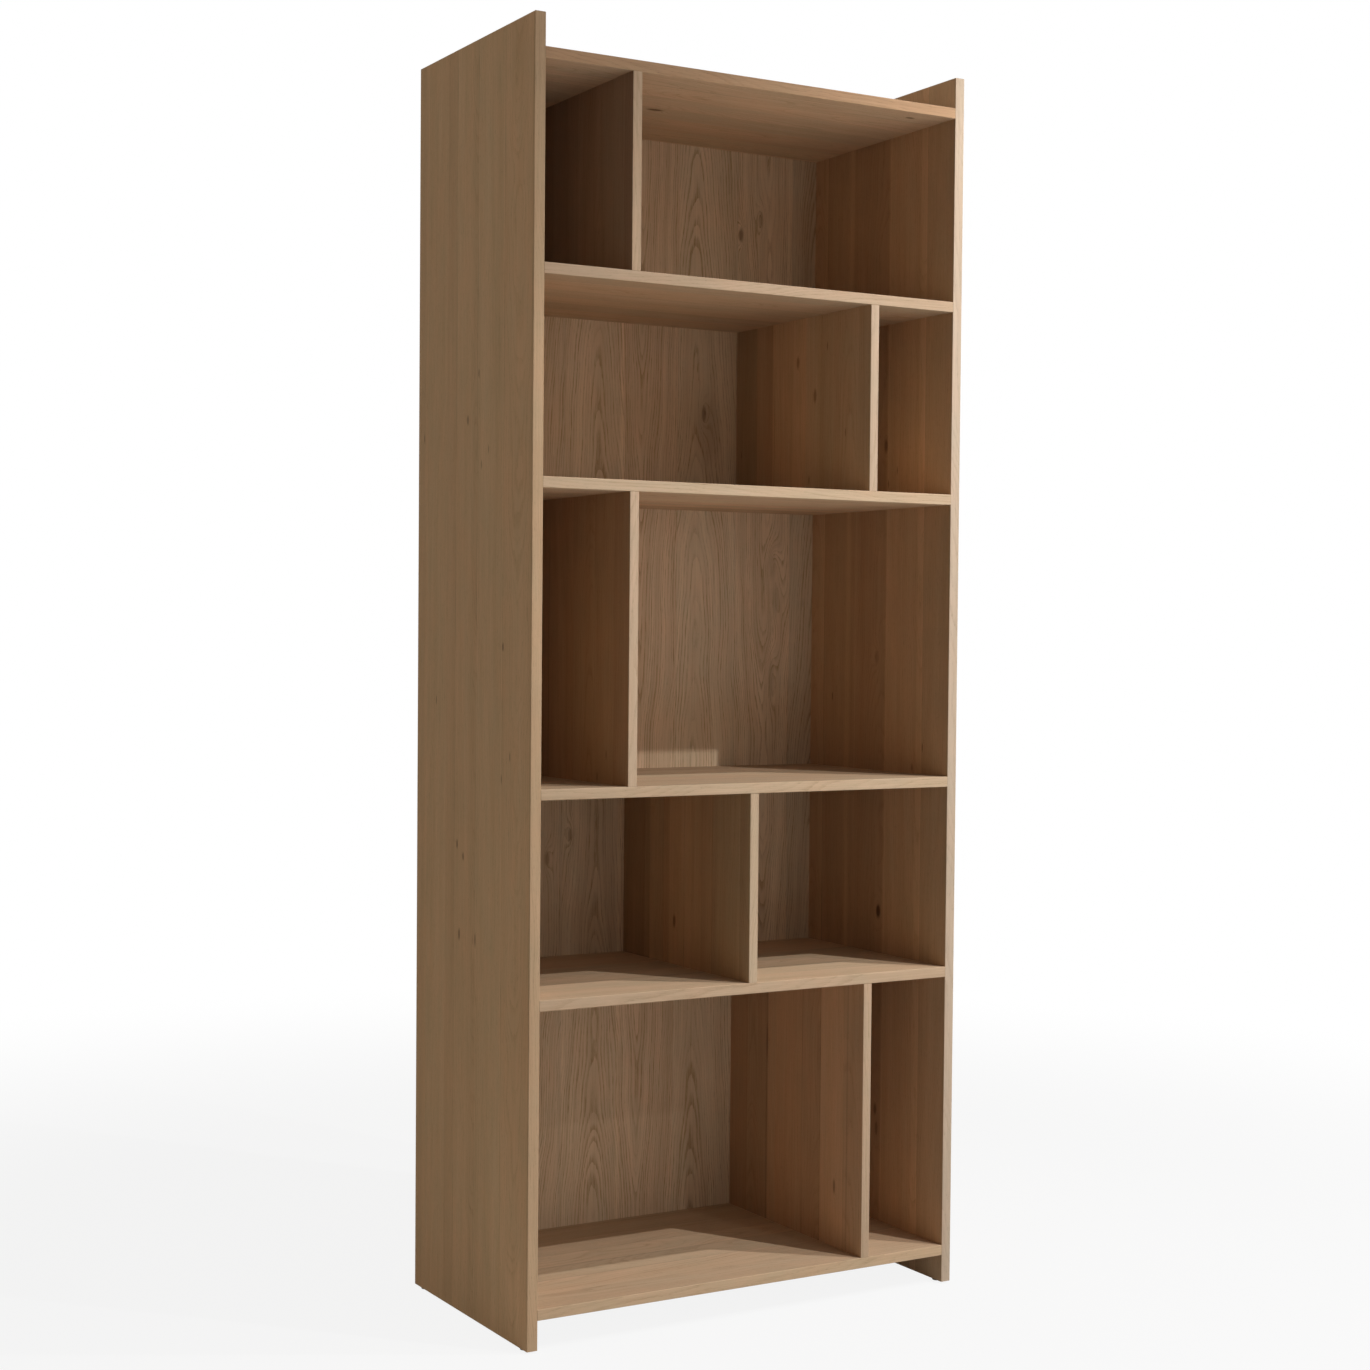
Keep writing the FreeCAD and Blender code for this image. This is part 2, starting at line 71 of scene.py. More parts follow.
class Grain(Enum):
    """Which way the fibres of a board run, and which way its staves lie side by side."""

    UPRIGHT_DEEP = "fibres up, staves side by side along the depth"
    UPRIGHT_WIDE = "fibres up, staves side by side along the width"
    LEVEL = "fibres along the width, staves side by side along the depth"

    def axes(self) -> Tuple[int, int, int]:
        """Tell the board's axes apart.

        Returns:
            The indices of the across, through and along axes.
        """
        return {
            Grain.UPRIGHT_DEEP: (1, 0, 2),
            Grain.UPRIGHT_WIDE: (0, 1, 2),
            Grain.LEVEL: (1, 2, 0),
        }[self]


@dataclass(frozen=True)
class Field:
    """A number that varies over a surface: one output socket of a shader tree.

    Arithmetic on fields adds Math nodes to the tree, so a formula reads as it is written.
    """

    tree: Tree
    socket: Socket

    def _math(self, operation: str, *values: "Value") -> "Field":
        """Add a Math node.

        Args:
            operation: Blender's name of the operation.
            values: what the node works on, fields or plain numbers.

        Returns:
            The node's result.
        """
        node = self.tree.nodes.new("ShaderNodeMath")
        node.operation = operation
        for socket, value in zip(node.inputs, values):
            connect(self.tree, value, socket)
        return Field(self.tree, node.outputs[0])

    def __add__(self, other: "Value") -> "Field":
        """Add."""
        return self._math("ADD", self, other)

    def __sub__(self, other: "Value") -> "Field":
        """Take away."""
        return self._math("SUBTRACT", self, other)

    def __rsub__(self, other: float) -> "Field":
        """Take this field from a plain number."""
        return self._math("SUBTRACT", other, self)

    def __mul__(self, other: "Value") -> "Field":
        """Multiply."""
        return self._math("MULTIPLY", self, other)

    def __truediv__(self, other: "Value") -> "Field":
        """Divide."""
        return self._math("DIVIDE", self, other)

    __radd__ = __add__
    __rmul__ = __mul__

    def squared(self) -> "Field":
        """Multiply the field by itself."""
        return self * self

    def root(self) -> "Field":
        """Take the square root."""
        return self._math("SQRT", self)

    def exponential(self) -> "Field":
        """Raise e to the field."""
        return self._math("EXPONENT", self)

    def fraction(self) -> "Field":
        """Keep what is left after the whole number."""
        return self._math("FRACT", self)

    def magnitude(self) -> "Field":
        """Drop the sign."""
        return self._math("ABSOLUTE", self)

    def largest(self, other: "Value") -> "Field":
        """Take the larger of two."""
        return self._math("MAXIMUM", self, other)

    def smallest(self, other: "Value") -> "Field":
        """Take the smaller of two."""
        return self._math("MINIMUM", self, other)

    def swing(self, amount: "Value") -> "Field":
        """Give how far a noise lies from its mean, times an amount."""
        return (self - NOISE_MEAN) * amount

    def between(self, low: float, high: float) -> "Field":
        """Go evenly from low where the field is 0 to high where it is 1."""
        return self * (high - low) + low

    def rise(self, low: "Value", high: "Value") -> "Field":
        """Make a smooth step.

        Args:
            low: the field's value where the step leaves 0.
            high: the field's value where it reaches 1.

        Returns:
            The step.
        """
        node = self.tree.nodes.new("ShaderNodeMapRange")
        node.interpolation_type = "SMOOTHSTEP"
        for socket, value in zip(node.inputs, (self, low, high)):
            connect(self.tree, value, socket)
        return Field(self.tree, node.outputs[0])


Value = Union[Field, float]
Triple = Tuple[Field, Field, Field]


def connect(tree: Tree, value: Value, socket: Socket) -> None:
    """Link a field to a socket, or write a plain number into it.

    Args:
        tree: the tree that holds the socket.
        value: a field of that tree, or a number.
        socket: the input to fill.
    """
    if isinstance(value, Field):
        tree.links.new(value.socket, socket)
    else:
        socket.default_value = value


@dataclass(frozen=True)
class Loom:
    """A shader tree with the few kinds of node that the finishes are made of."""

    tree: Tree

    def coordinates(self, kind: str) -> Triple:
        """Take a texture coordinate apart.

        Args:
            kind: Blender's name of the coordinate.

        Returns:
            Its three parts.
        """
        node = self.tree.nodes.new("ShaderNodeTexCoord")
        parts = self.tree.nodes.new("ShaderNodeSeparateXYZ")
        self.tree.links.new(node.outputs[kind], parts.inputs[0])
        x, y, z = (Field(self.tree, s) for s in parts.outputs)
        return x, y, z

    def place(self) -> Triple:
        """Give the Object coordinates in millimetres, as three fields."""
        x, y, z = self.coordinates("Object")
        return x * MM_PER_M, y * MM_PER_M, z * MM_PER_M

    def facing(self) -> Triple:
        """Give the sizes of the three parts of the surface's own normal."""
        x, y, z = self.coordinates("Normal")
        return x.magnitude(), y.magnitude(), z.magnitude()

    def seen(self) -> Field:
        """Tell rays that look from rays that light.

        Returns:
            1 for rays from the camera, from mirrors and through glass, and 0 for all others.
        """
        path = self.tree.nodes.new("ShaderNodeLightPath")
        seen = Field(self.tree, path.outputs["Is Camera Ray"])
        for kind in ("Is Glossy Ray", "Is Transmission Ray"):
            seen = seen.largest(Field(self.tree, path.outputs[kind]))
        return seen

    def point(self, x: Value, y: Value, z: Value) -> Socket:
        """Join three numbers to a vector.

        Args:
            x: first part.
            y: second part.
            z: third part.

        Returns:
            The vector.
        """
        node = self.tree.nodes.new("ShaderNodeCombineXYZ")
        for socket, value in zip(node.inputs, (x, y, z)):
            connect(self.tree, value, socket)
        return node.outputs[0]

    def noise(
        self, x: Value, y: Value, z: Value, detail: float = 2.0, rough: float = 0.5
    ) -> Field:
        """Add a cloud noise.

        Args:
            x: first coordinate, already divided by the size of the cloud's lumps.
            y: second coordinate.
            z: third coordinate.
            detail: how many finer layers the cloud has.
            rough: how strong each finer layer is against the one before.

        Returns:
            A field from 0 to 1 with a mean of one half.
        """
        node = self.tree.nodes.new("ShaderNodeTexNoise")
        node.inputs["Scale"].default_value = 1.0
        node.inputs["Detail"].default_value = detail
        node.inputs["Roughness"].default_value = rough
        self.tree.links.new(self.point(x, y, z), node.inputs["Vector"])
        return Field(self.tree, node.outputs[0])

    def chance(self, key: Field) -> Triple:
        """Draw random numbers.

        Args:
            key: the field that they hang on: they stay the same while it does.

        Returns:
            Three even random numbers from 0 to 1.
        """
        node = self.tree.nodes.new("ShaderNodeTexWhiteNoise")
        node.noise_dimensions = "1D"
        connect(self.tree, key, node.inputs["W"])
        return self.parts(node.outputs["Color"])

    def parts(self, colour: Socket) -> Triple:
        """Take a colour apart.

        Args:
            colour: the colour's socket.

        Returns:
            Its red, green and blue.
        """
        node = self.tree.nodes.new("ShaderNodeSeparateColor")
        self.tree.links.new(colour, node.inputs[0])
        red, green, blue = (Field(self.tree, s) for s in node.outputs)
        return red, green, blue

    def blend(
        self,
        first: Union[Colour, Socket],
        second: Union[Colour, Socket],
        share: Field,
        how: str = "MIX",
    ) -> Socket:
        """Mix two colours.

        Args:
            first: the colour where the share is 0.
            second: the colour where the share is 1.
            share: the field that says how much of the second shows.
            how: Blender's name of the way to mix.

        Returns:
            The mixed colour.
        """
        node = self.tree.nodes.new("ShaderNodeMix")
        node.data_type = "RGBA"
        node.blend_type = how
        node.clamp_factor = True
        connect(self.tree, share, node.inputs[0])
        for socket, colour in ((node.inputs[6], first), (node.inputs[7], second)):
            if isinstance(colour, tuple):
                socket.default_value = (*colour, 1.0)
            else:
                self.tree.links.new(colour, socket)
        return node.outputs[2]

    def shade(self, colour: Socket, level: Field) -> Socket:
        """Multiply a colour by a field.

        Args:
            colour: the colour.
            level: the field.

        Returns:
            The product.
        """
        node = self.tree.nodes.new("ShaderNodeVectorMath")
        node.operation = "SCALE"
        self.tree.links.new(colour, node.inputs[0])
        connect(self.tree, level, node.inputs["Scale"])
        return node.outputs[0]

    def times(self, first: Socket, second: Socket) -> Socket:
        """Multiply two colours part by part.

        Args:
            first: one colour.
            second: the other.

        Returns:
            The product.
        """
        node = self.tree.nodes.new("ShaderNodeVectorMath")
        node.operation = "MULTIPLY"
        self.tree.links.new(first, node.inputs[0])
        self.tree.links.new(second, node.inputs[1])
        return node.outputs[0]

    def lanes(self, place: Field, scatter: Field) -> Tuple[Node, Field]:
        """Divide a line into lanes of uneven width.

        Args:
            place: the place on the line, in mean lane widths.
            scatter: how uneven the lanes are, from 0 to 1.

        Returns:
            The node that knows each lane's middle and random colour, and the distance to the
            nearest joint between lanes.
        """
        cell = self.tree.nodes.new("ShaderNodeTexVoronoi")
        gap = self.tree.nodes.new("ShaderNodeTexVoronoi")
        gap.feature = "DISTANCE_TO_EDGE"
        for node in (cell, gap):
            node.voronoi_dimensions = "1D"
            node.inputs["Scale"].default_value = 1.0
            connect(self.tree, scatter, node.inputs["Randomness"])
            connect(self.tree, place, node.inputs["W"])
        return cell, Field(self.tree, gap.outputs["Distance"])

    def cells(self, x: Field, y: Field, z: Field) -> Node:
        """Divide space into cells of uneven shape.

        Args:
            x: first coordinate, already divided by the size of a cell.
            y: second coordinate.
            z: third coordinate.

        Returns:
            The node that knows each cell's random colour and the distance from its middle.
        """
        node = self.tree.nodes.new("ShaderNodeTexVoronoi")
        node.inputs["Scale"].default_value = 1.0
        self.tree.links.new(self.point(x, y, z), node.inputs["Vector"])
        return node


@dataclass(frozen=True)
class Group:
    """A node group that is being filled: its tree, its start and its end."""

    tree: Tree
    start: Node
    end: Node

    @classmethod
    def new(
        cls,
        name: str,
        numbers_in: str,
        numbers_out: str,
        colours_in: str = "",
        colours_out: str = "",
    ) -> "Group":
        """Make an empty group.

        Args:
            name: the group's name.
            numbers_in: names of its number inputs, with blanks between.
            numbers_out: names of its number outputs.
            colours_in: names of its colour inputs.
            colours_out: names of its colour outputs.

        Returns:
            The group.
        """
        tree = bpy.data.node_groups.new(name, "ShaderNodeTree")
        for names, way, kind in (
            (numbers_in, "INPUT", "NodeSocketFloat"),
            (colours_in, "INPUT", "NodeSocketColor"),
            (numbers_out, "OUTPUT", "NodeSocketFloat"),
            (colours_out, "OUTPUT", "NodeSocketColor"),
        ):
            for socket in names.split():
                tree.interface.new_socket(socket, in_out=way, socket_type=kind)
        return cls(
            tree, tree.nodes.new("NodeGroupInput"), tree.nodes.new("NodeGroupOutput")
        )

    def inputs(self) -> Tuple[Field, ...]:
        """Give the number inputs as fields."""
        return tuple(Field(self.tree, s) for s in self.start.outputs if s.type == "VALUE")

    def colour_inputs(self) -> Tuple[Socket, ...]:
        """Give the colour inputs."""
        return tuple(s for s in self.start.outputs if s.type == "RGBA")

    def give(self, name: str, value: Union[Field, Socket]) -> None:
        """Send a field or a colour out of the group."""
        socket = value.socket if isinstance(value, Field) else value
        self.tree.links.new(socket, self.end.inputs[name])


@dataclass(frozen=True)
class SurfaceSettings:
    """Shader values that are the same all over a finish."""

    metallic: float = 0.0
    specular: float = 0.5
    bump_depth: float = 0.00012
    bump_strength: float = 1.0


def new_material(name: str, settings: SurfaceSettings) -> Tuple[Material, Loom, Node]:
    """Make a material with one Principled shader.

    Args:
        name: the material's name.
        settings: values to write on the shader's own sockets.

    Returns:
        The material, its tree and the shader node.
    """
    material = bpy.data.materials.new(name)
    material.use_nodes = True
    shader = material.node_tree.nodes["Principled BSDF"]
    shader.inputs["Metallic"].default_value = settings.metallic
    shader.inputs["Specular IOR Level"].default_value = settings.specular
    return material, Loom(material.node_tree), shader


def add_relief(loom: Loom, shader: Node, height: Field, settings: SurfaceSettings) -> None:
    """Give a shader a fine relief.

    Args:
        loom: the material's tree.
        shader: the Principled shader that takes the bent normal.
        height: relief from 0 to 1.
        settings: its depth in metres and its strength.
    """
    bump = loom.tree.nodes.new("ShaderNodeBump")
    bump.inputs["Distance"].default_value = settings.bump_depth
    bump.inputs["Strength"].default_value = settings.bump_strength
    connect(loom.tree, height, bump.inputs["Height"])
    loom.tree.links.new(bump.outputs[0], shader.inputs["Normal"])


@dataclass(frozen=True)
class GrainMark:
    """A place where the rings bend: a knot, or the heart of a flame-shaped figure.

    The rings are lifted by a bell over an oval, so that they close round it.
    """

    across: float
    along: float
    half_width: float = 8.0
    half_length: float = 22.0
    lift: float = 9.0
    core: float = 0.0


@dataclass(frozen=True)
class Streak:
    """A stripe along the fibres that is lighter or darker than the rest, with soft borders."""

    across: float
    half_width: float
    tone: float
    soft: float = 2.5


@dataclass(frozen=True)
class Cut:
    """How a board was sawn and glued up from staves. Lengths are millimetres."""

    stave_width: float
    stave_start: float = 0.0
    scatter: float = 0.6
    pith_reach: float = 3.0
    pith_depth: float = 45.0
    ring_width: float = 6.0
    figure: float = 0.5
    flecks: float = 1.0


@dataclass(frozen=True)
class Layer:
    """A layer of noise in wood. Lengths are millimetres.

    The swing says how far the layer carries what it acts on. The steps move it on from stave to
    stave and from board to board, in lumps, the last of them along the fibres.
    """

    across: float
    along: float
    swing: float = 0.0
    detail: float = 2.0
    rough: float = 0.5
    stave_step: float = 0.0
    seed_side: float = 0.0
    seed_step: float = 0.0


@dataclass(frozen=True)
class RingLayer:
    """A layer of noise that differs from ring to ring and from stave to stave."""

    rate: float
    stave_step: float
    swing: float = 0.0


@dataclass(frozen=True)
class Effect:
    """What a feature of the wood does where it shows.

    It takes a share of the brightness, and adds to the roughness and to the relief.
    """

    shade: float = 0.0
    rough: float = 0.0
    height: float = 0.0


@dataclass(frozen=True)
class WoodPlace:
    """Where a point lies in a board, as fields of the tree that grows the wood."""

    loom: Loom
    across: Field
    through: Field
    along: Field
    stave: Field
    seed: Field

    def noise(self, layer: Layer) -> Field:
        """Add a layer of noise.

        Args:
            layer: its sizes and steps.

        Returns:
            The noise, from 0 to 1.
        """
        sideways = self.across / layer.across
        lengthways = self.along / layer.along
        if layer.stave_step:
            sideways = sideways + self.stave * layer.stave_step
        if layer.seed_side:
            sideways = sideways + self.seed * layer.seed_side
        if layer.seed_step:
            lengthways = lengthways + self.seed * layer.seed_step
        inward = self.through / layer.across
        return self.loom.noise(sideways, inward, lengthways, layer.detail, layer.rough)

    def ring_noise(self, rings: Field, layer: RingLayer, along: Value = 0.0) -> Field:
        """Add a layer of noise that follows the rings, and the fibres where along is given."""
        return self.loom.noise(rings * layer.rate, self.stave * layer.stave_step, along)

    def flecks(self, layer: Layer, choice: Span, reach: Span) -> Field:
        """Strew a few short dashes.

        Args:
            layer: the size of the cells that can hold one.
            choice: which of the cells' random numbers bring one.
            reach: how far from a cell's middle its border lies, in cells.

        Returns:
            1 on a dash and 0 beside it.
        """
        cell = self.loom.cells(
            self.across / layer.across, self.through / layer.across, self.along / layer.along
        )
        chosen = self.loom.parts(cell.outputs["Color"])[0].rise(*choice)
        away = Field(self.loom.tree, cell.outputs["Distance"])
        return chosen * (1.0 - away.rise(*reach))


@dataclass(frozen=True)
class OakLayers:
    """The layers of noise in the oak."""

    slow: Layer = Layer(160.0, 320.0, 44.0, stave_step=17.3, seed_step=3.7)
    wobble: Layer = Layer(30.0, 210.0, 6.0, stave_step=5.1)
    tiny: Layer = Layer(5.0, 45.0, 1.6)
    dash: Layer = Layer(0.9, 24.0, detail=1.0)
    streak: Layer = Layer(2.2, 180.0, 0.40, 3.0, 0.6)
    fibre: Layer = Layer(0.7, 40.0, 0.25)
    broad: Layer = Layer(30.0, 1100.0, 0.45, stave_step=3.1)
    pore: Layer = Layer(0.42, 8.0, detail=1.0)
    cloud: Layer = Layer(110.0, 160.0, 0.24, seed_step=1.0)
    mottle: Layer = Layer(34.0, 80.0, 0.22, 3.0, seed_side=1.0)
    fleck: Layer = Layer(26.0, 120.0)
    year: RingLayer = RingLayer(0.45, 7.0, 1.6)
    band: RingLayer = RingLayer(0.29, 9.7, 0.55)
    vigour: RingLayer = RingLayer(0.6, 3.3)


@dataclass(frozen=True)
class OakSpans:
    """From where to where the features of the oak come and go. Distances are millimetres."""

    pith_depth: Span = (0.5, 1.5)
    turned: Span = (0.49, 0.51)
    taper: Span = (0.03, 0.08)
    ring_width: Span = (0.75, 1.25)
    ring_start: Span = (0.0, 0.05)
    ring_fade: Span = (0.05, 0.60)
    dash: Span = (0.42, 0.62)
    dash_share: Span = (0.25, 1.0)
    vigour: Span = (0.36, 0.66)
    vigour_share: Span = (0.2, 1.0)
    pore: Span = (0.58, 0.70)
    pore_share: Span = (0.2, 1.0)
    fleck_choice: Span = (0.80, 0.83)
    fleck_reach: Span = (0.03, 0.09)
    hue: Span = (0.2, 0.8)
    joint: Span = (0.15, 0.90)
    broken: Span = (0.35, 0.65)
    gum_reach: Span = (0.6, 3.4)
    gum_choice: Span = (0.74, 0.80)
    glue_reach: Span = (0.8, 3.6)
    glue_choice: Span = (0.12, 0.18)
    knot_core: Span = (0.25, 0.75)


@dataclass(frozen=True)
class OakEffects:
    """What the features of the oak do to its surface."""

    pore: Effect = Effect(0.28, 0.15, -0.6)
    joint: Effect = Effect(0.07, height=-0.3)
    gum: Effect = Effect(0.22)
    glued: Effect = Effect(-0.10)
    fleck: Effect = Effect(0.42, height=-0.2)
    end_grain: Effect = Effect(0.28, rough=0.12)
    arris: Effect = Effect(-0.05)
    early: Effect = Effect(rough=0.06, height=-0.16)
    streak: Effect = Effect(rough=0.10)
    fibre: Effect = Effect(height=0.2)
    knot: Effect = Effect(rough=-0.08)


@dataclass(frozen=True)
class OakFinish:
    """Oiled oak of glued staves. Lengths are millimetres, colours are linear."""

    pale: Colour = (0.680, 0.502, 0.345)
    dark: Colour = (0.410, 0.268, 0.158)
    rosy: Colour = (1.035, 0.972, 0.932)
    olive: Colour = (0.972, 1.012, 1.002)
    knot: Colour = (0.115, 0.060, 0.031)
    surface: SurfaceSettings = SurfaceSettings(specular=0.05, bump_depth=0.00010)
    layers: OakLayers = OakLayers()
    spans: OakSpans = OakSpans()
    effects: OakEffects = OakEffects()
    board_step: float = 11.0
    chance_step: float = 3.17
    vigour_length: float = 300.0
    gum_length: float = 240.0
    gum_step: float = 2.3
    mean_tone: float = 0.40
    line_mean: float = 0.12
    line_swing: float = 0.75
    streak_figure: float = 0.30
    hue_swing: float = 1.6
    stave_swing: float = 0.20
    cloud_level: float = 0.08
    knot_cover: float = 0.92
    roughness: float = 0.58
    relief: float = 0.8

    def mark_group(self) -> Tree:
        """Build the node group of one grain mark.

        The lift is a bell, e to the minus of squared distance, over an oval with the mark's half
        width and half length. The core is where that distance is under about one half.

        Returns:
            The group.
        """
        group = Group.new(
            "oak_grain_mark",
            "Across Along Centre Height HalfWidth HalfLength Lift Core",
            "Lift Knot",
        )
        across, along, centre, height, half_width, half_length, lift, core = group.inputs()
        sideways = (across - centre) / half_width
        lengthways = (along - height) / half_length
        distance = (sideways.squared() + lengthways.squared()).root()
        bell = (distance.squared() * -1.0).exponential()
        group.give("Lift", bell * lift)
        group.give("Knot", (1.0 - distance.rise(*self.spans.knot_core)) * core)
        return group.tree

    def wood_group(self) -> Tree:
        """Build the node group that grows the wood.

        Each stave is a cell of a one-dimensional cell pattern along the across axis, with random
        numbers of its own. The ring number is the distance from the stave's pith, plus a taper
        along the fibres that turns from stave to stave, slow noise and the lift of the marks,
        divided by the ring width. Where the pith lies under the stave the rings show as flames,
        and where it lies far to one side as lines. Short dashes break up the open-pored start of
        each ring.

        Returns:
            The group.
        """
        group = Group.new(
            "oak_growth",
            "Across Through Along Seed StaveWidth StaveStart Scatter PithReach PithDepth"
            " RingWidth Figure Flecks Lift Knot Stripes EndGrain Edge Arris",
            "Roughness Height",
            "Tint EdgeTint",
            "Colour",
        )
        tree, loom = group.tree, Loom(group.tree)
        layers, spans, effects = self.layers, self.spans, self.effects
        across, through, along, seed, *others = group.inputs()
        *cut, lift, knot, stripes, end_grain, edge, arris = others
        stave_width, stave_start, scatter, pith_reach, *others = cut
        pith_depth, ring_width, figure, flecks = others

        shift = seed * self.board_step
        cell, gap = loom.lanes((across - stave_start) / stave_width + shift, scatter)
        side_share, depth_share, ring_share = loom.parts(cell.outputs["Color"])
        stave = Field(tree, cell.outputs["W"])
        tone_share, hue_share, gum_share = loom.chance(stave * self.chance_step)
        place = WoodPlace(loom, across, through, along, stave, seed)

        # Every second stave is turned end for end
        centre = (stave - shift) * stave_width + stave_start
        sideways = across - centre - side_share.swing(stave_width) * pith_reach
        depth = through + depth_share.between(*spans.pith_depth) * pith_depth
        turned = ((stave + 0.5) / 2.0).fraction().rise(*spans.turned)
        taper = turned.between(1.0, -1.0) * hue_share.between(*spans.taper)
        radius = (sideways.squared() + depth.squared()).root() + lift + along * taper
        for layer in (layers.slow, layers.wobble, layers.tiny):
            radius = radius + place.noise(layer).swing(layer.swing)
        rings = radius / (ring_width * ring_share.between(*spans.ring_width))
        rings = rings + place.ring_noise(rings, layers.year).swing(layers.year.swing)

        # The open-pored start of each ring, and the finer features
        turn = rings.fraction()
        early = turn.rise(*spans.ring_start) * (1.0 - turn.rise(*spans.ring_fade))
        dash = place.noise(layers.dash).rise(*spans.dash)
        line = early * dash.between(*spans.dash_share)
        band = place.ring_noise(rings, layers.band)
        vigour = place.ring_noise(rings, layers.vigour, along / self.vigour_length)
        vigour = vigour.rise(*spans.vigour).between(*spans.vigour_share)
        streak, fibre = place.noise(layers.streak), place.noise(layers.fibre)
        pore = place.noise(layers.pore).rise(*spans.pore)
        pore = pore * early.between(*spans.pore_share)
        cloud, mottle = place.noise(layers.cloud), place.noise(layers.mottle)
        fleck = place.flecks(layers.fleck, spans.fleck_choice, spans.fleck_reach) * flecks

        tone = self.mean_tone + band.swing(figure) * layers.band.swing
        tone = tone + (line * vigour - self.line_mean) * figure * self.line_swing
        tone = tone + streak.swing(figure * self.streak_figure + layers.streak.swing)
        tone = tone + fibre.swing(layers.fibre.swing)
        tone = tone + place.noise(layers.broad).swing(layers.broad.swing)
        tone = tone + cloud.swing(layers.cloud.swing) + mottle.swing(layers.mottle.swing)
        colour = loom.blend(self.pale, self.dark, tone)
        drift = hue_share.between(*spans.hue) + mottle.swing(self.hue_swing)
        tint = loom.blend(self.rosy, self.olive, drift)
        # The board's tint and its edges' tint are partly painted light and shade: they lighten or
        # darken whole boards and their edges after how the light falls.
        tint = loom.times(tint, loom.blend(*group.colour_inputs(), edge))
        colour = loom.times(colour, tint)

        # Joints between staves: a fine line, here and there a dark gum or a lighter rim
        rim = gap * stave_width
        joint = 1.0 - rim.rise(*spans.joint)
        broken = loom.noise(along / self.gum_length, stave * self.gum_step, 0.0)
        gum = (1.0 - rim.rise(*spans.gum_reach)) * gum_share.rise(*spans.gum_choice)
        gum = gum * broken.rise(*spans.broken)
        glued = 1.0 - gum_share.rise(*spans.glue_choice)
        glued = (1.0 - rim.rise(*spans.glue_reach)) * glued

        level = 1.0 + tone_share.swing(self.stave_swing) + cloud.swing(self.cloud_level)
        level = level + stripes
        rough: Value = self.roughness
        height: Value = self.relief
        for share, effect in (
            (pore, effects.pore),
            (joint, effects.joint),
            (gum, effects.gum),
            (glued, effects.glued),
            (fleck, effects.fleck),
            (end_grain, effects.end_grain),
            (arris, effects.arris),
            (early, effects.early),
            (streak - NOISE_MEAN, effects.streak),
            (fibre - NOISE_MEAN, effects.fibre),
            (knot, effects.knot),
        ):
            if effect.shade:
                level = level * (1.0 - share * effect.shade)
            if effect.rough:
                rough = share * effect.rough + rough
            if effect.height:
                height = share * effect.height + height
        colour = loom.shade(colour, level)
        colour = loom.blend(colour, self.knot, knot.smallest(self.knot_cover))
        group.give("Colour", colour)
        group.give("Roughness", rough)
        group.give("Height", height)
        return tree


@dataclass(frozen=True)
class Board:
    """One oak board: its node, how its fibres run and what marks its figure has."""

    node: str
    grain: Grain
    seed: float
    cut: Cut
    # The tint of the whole board is partly painted light and shade.
    tint: Colour = WHITE
    marks: Tuple[GrainMark, ...] = ()
    streaks: Tuple[Streak, ...] = ()
    # By default the edges are lighter than the faces, partly painted light where the lamps catch
    # them.
    edge_colour_and_painted_light: Colour = (1.08, 1.09, 1.11)

    def stripes(self, across: Field) -> Value:
        """Add up the tones of the streaks that a place lies in.

        Args:
            across: the coordinate across the fibres.

        Returns:
            What they add to the brightness.
        """
        total: Value = 0.0
        for streak in self.streaks:
            away = (across - streak.across).magnitude()
            low = streak.half_width - streak.soft
            high = streak.half_width + streak.soft
            total = (1.0 - away.rise(low, high)) * streak.tone + total
        return total

    def bend(
        self, loom: Loom, across: Field, along: Field, mark_tree: Tree
    ) -> Tuple[Value, Value]:
        """Add up the board's grain marks.

        Args:
            loom: the material's tree.
            across: the coordinate across the fibres.
            along: the coordinate along them.
            mark_tree: the group of one grain mark.

        Returns:
            How far the rings are lifted, and how much of the place is knot.
        """
        lift: Value = 0.0
        knot: Value = 0.0
        for mark in self.marks:
            node = loom.tree.nodes.new("ShaderNodeGroup")
            node.node_tree = mark_tree
            values = (across, along, *astuple(mark))
            for socket, value in zip(node.inputs, values):
                connect(loom.tree, value, socket)
            more_lift, more_knot = (Field(loom.tree, s) for s in node.outputs)
            lift = more_lift + lift
            knot = more_knot.largest(knot)
        return lift, knot

    def material(self, oak: OakFinish, wood: Tree, mark_tree: Tree) -> Material:
        """Make the board's own oak.

        Args:
            oak: the finish.
            wood: the group that grows the wood.
            mark_tree: the group of one grain mark.

        Returns:
            The material.
        """
        material, loom, shader = new_material("oak_" + self.node, oak.surface)
        tree = loom.tree
        low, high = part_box(self.node)
        middle = (low + high) / 2.0 * MM_PER_M
        place, facing = loom.place(), loom.facing()
        over, through_axis, fibre = self.grain.axes()
        across, along = place[over], place[fibre]
        lift, knot = self.bend(loom, across, along, mark_tree)
        end_grain, edge = (facing[axis].rise(*SQUARE_ON) for axis in (fibre, over))
        squarest = facing[0].largest(facing[1]).largest(facing[2])
        grown = tree.nodes.new("ShaderNodeGroup")
        grown.node_tree = wood
        values = (
            across,
            place[through_axis] - middle[through_axis],
            along,
            self.seed,
            *astuple(self.cut),
            lift,
            knot,
            self.stripes(across),
            end_grain,
            edge,
            1.0 - squarest.rise(*FLAT),
        )
        for socket, value in zip(grown.inputs, values):
            connect(tree, value, socket)
        # These tints are partly painted light and shade.
        grown.inputs["Tint"].default_value = (*self.tint, 1.0)
        grown.inputs["EdgeTint"].default_value = (*self.edge_colour_and_painted_light, 1.0)
        tree.links.new(grown.outputs["Colour"], shader.inputs["Base Color"])
        tree.links.new(grown.outputs["Roughness"], shader.inputs["Roughness"])
        add_relief(loom, shader, Field(tree, grown.outputs["Height"]), oak.surface)
        return material


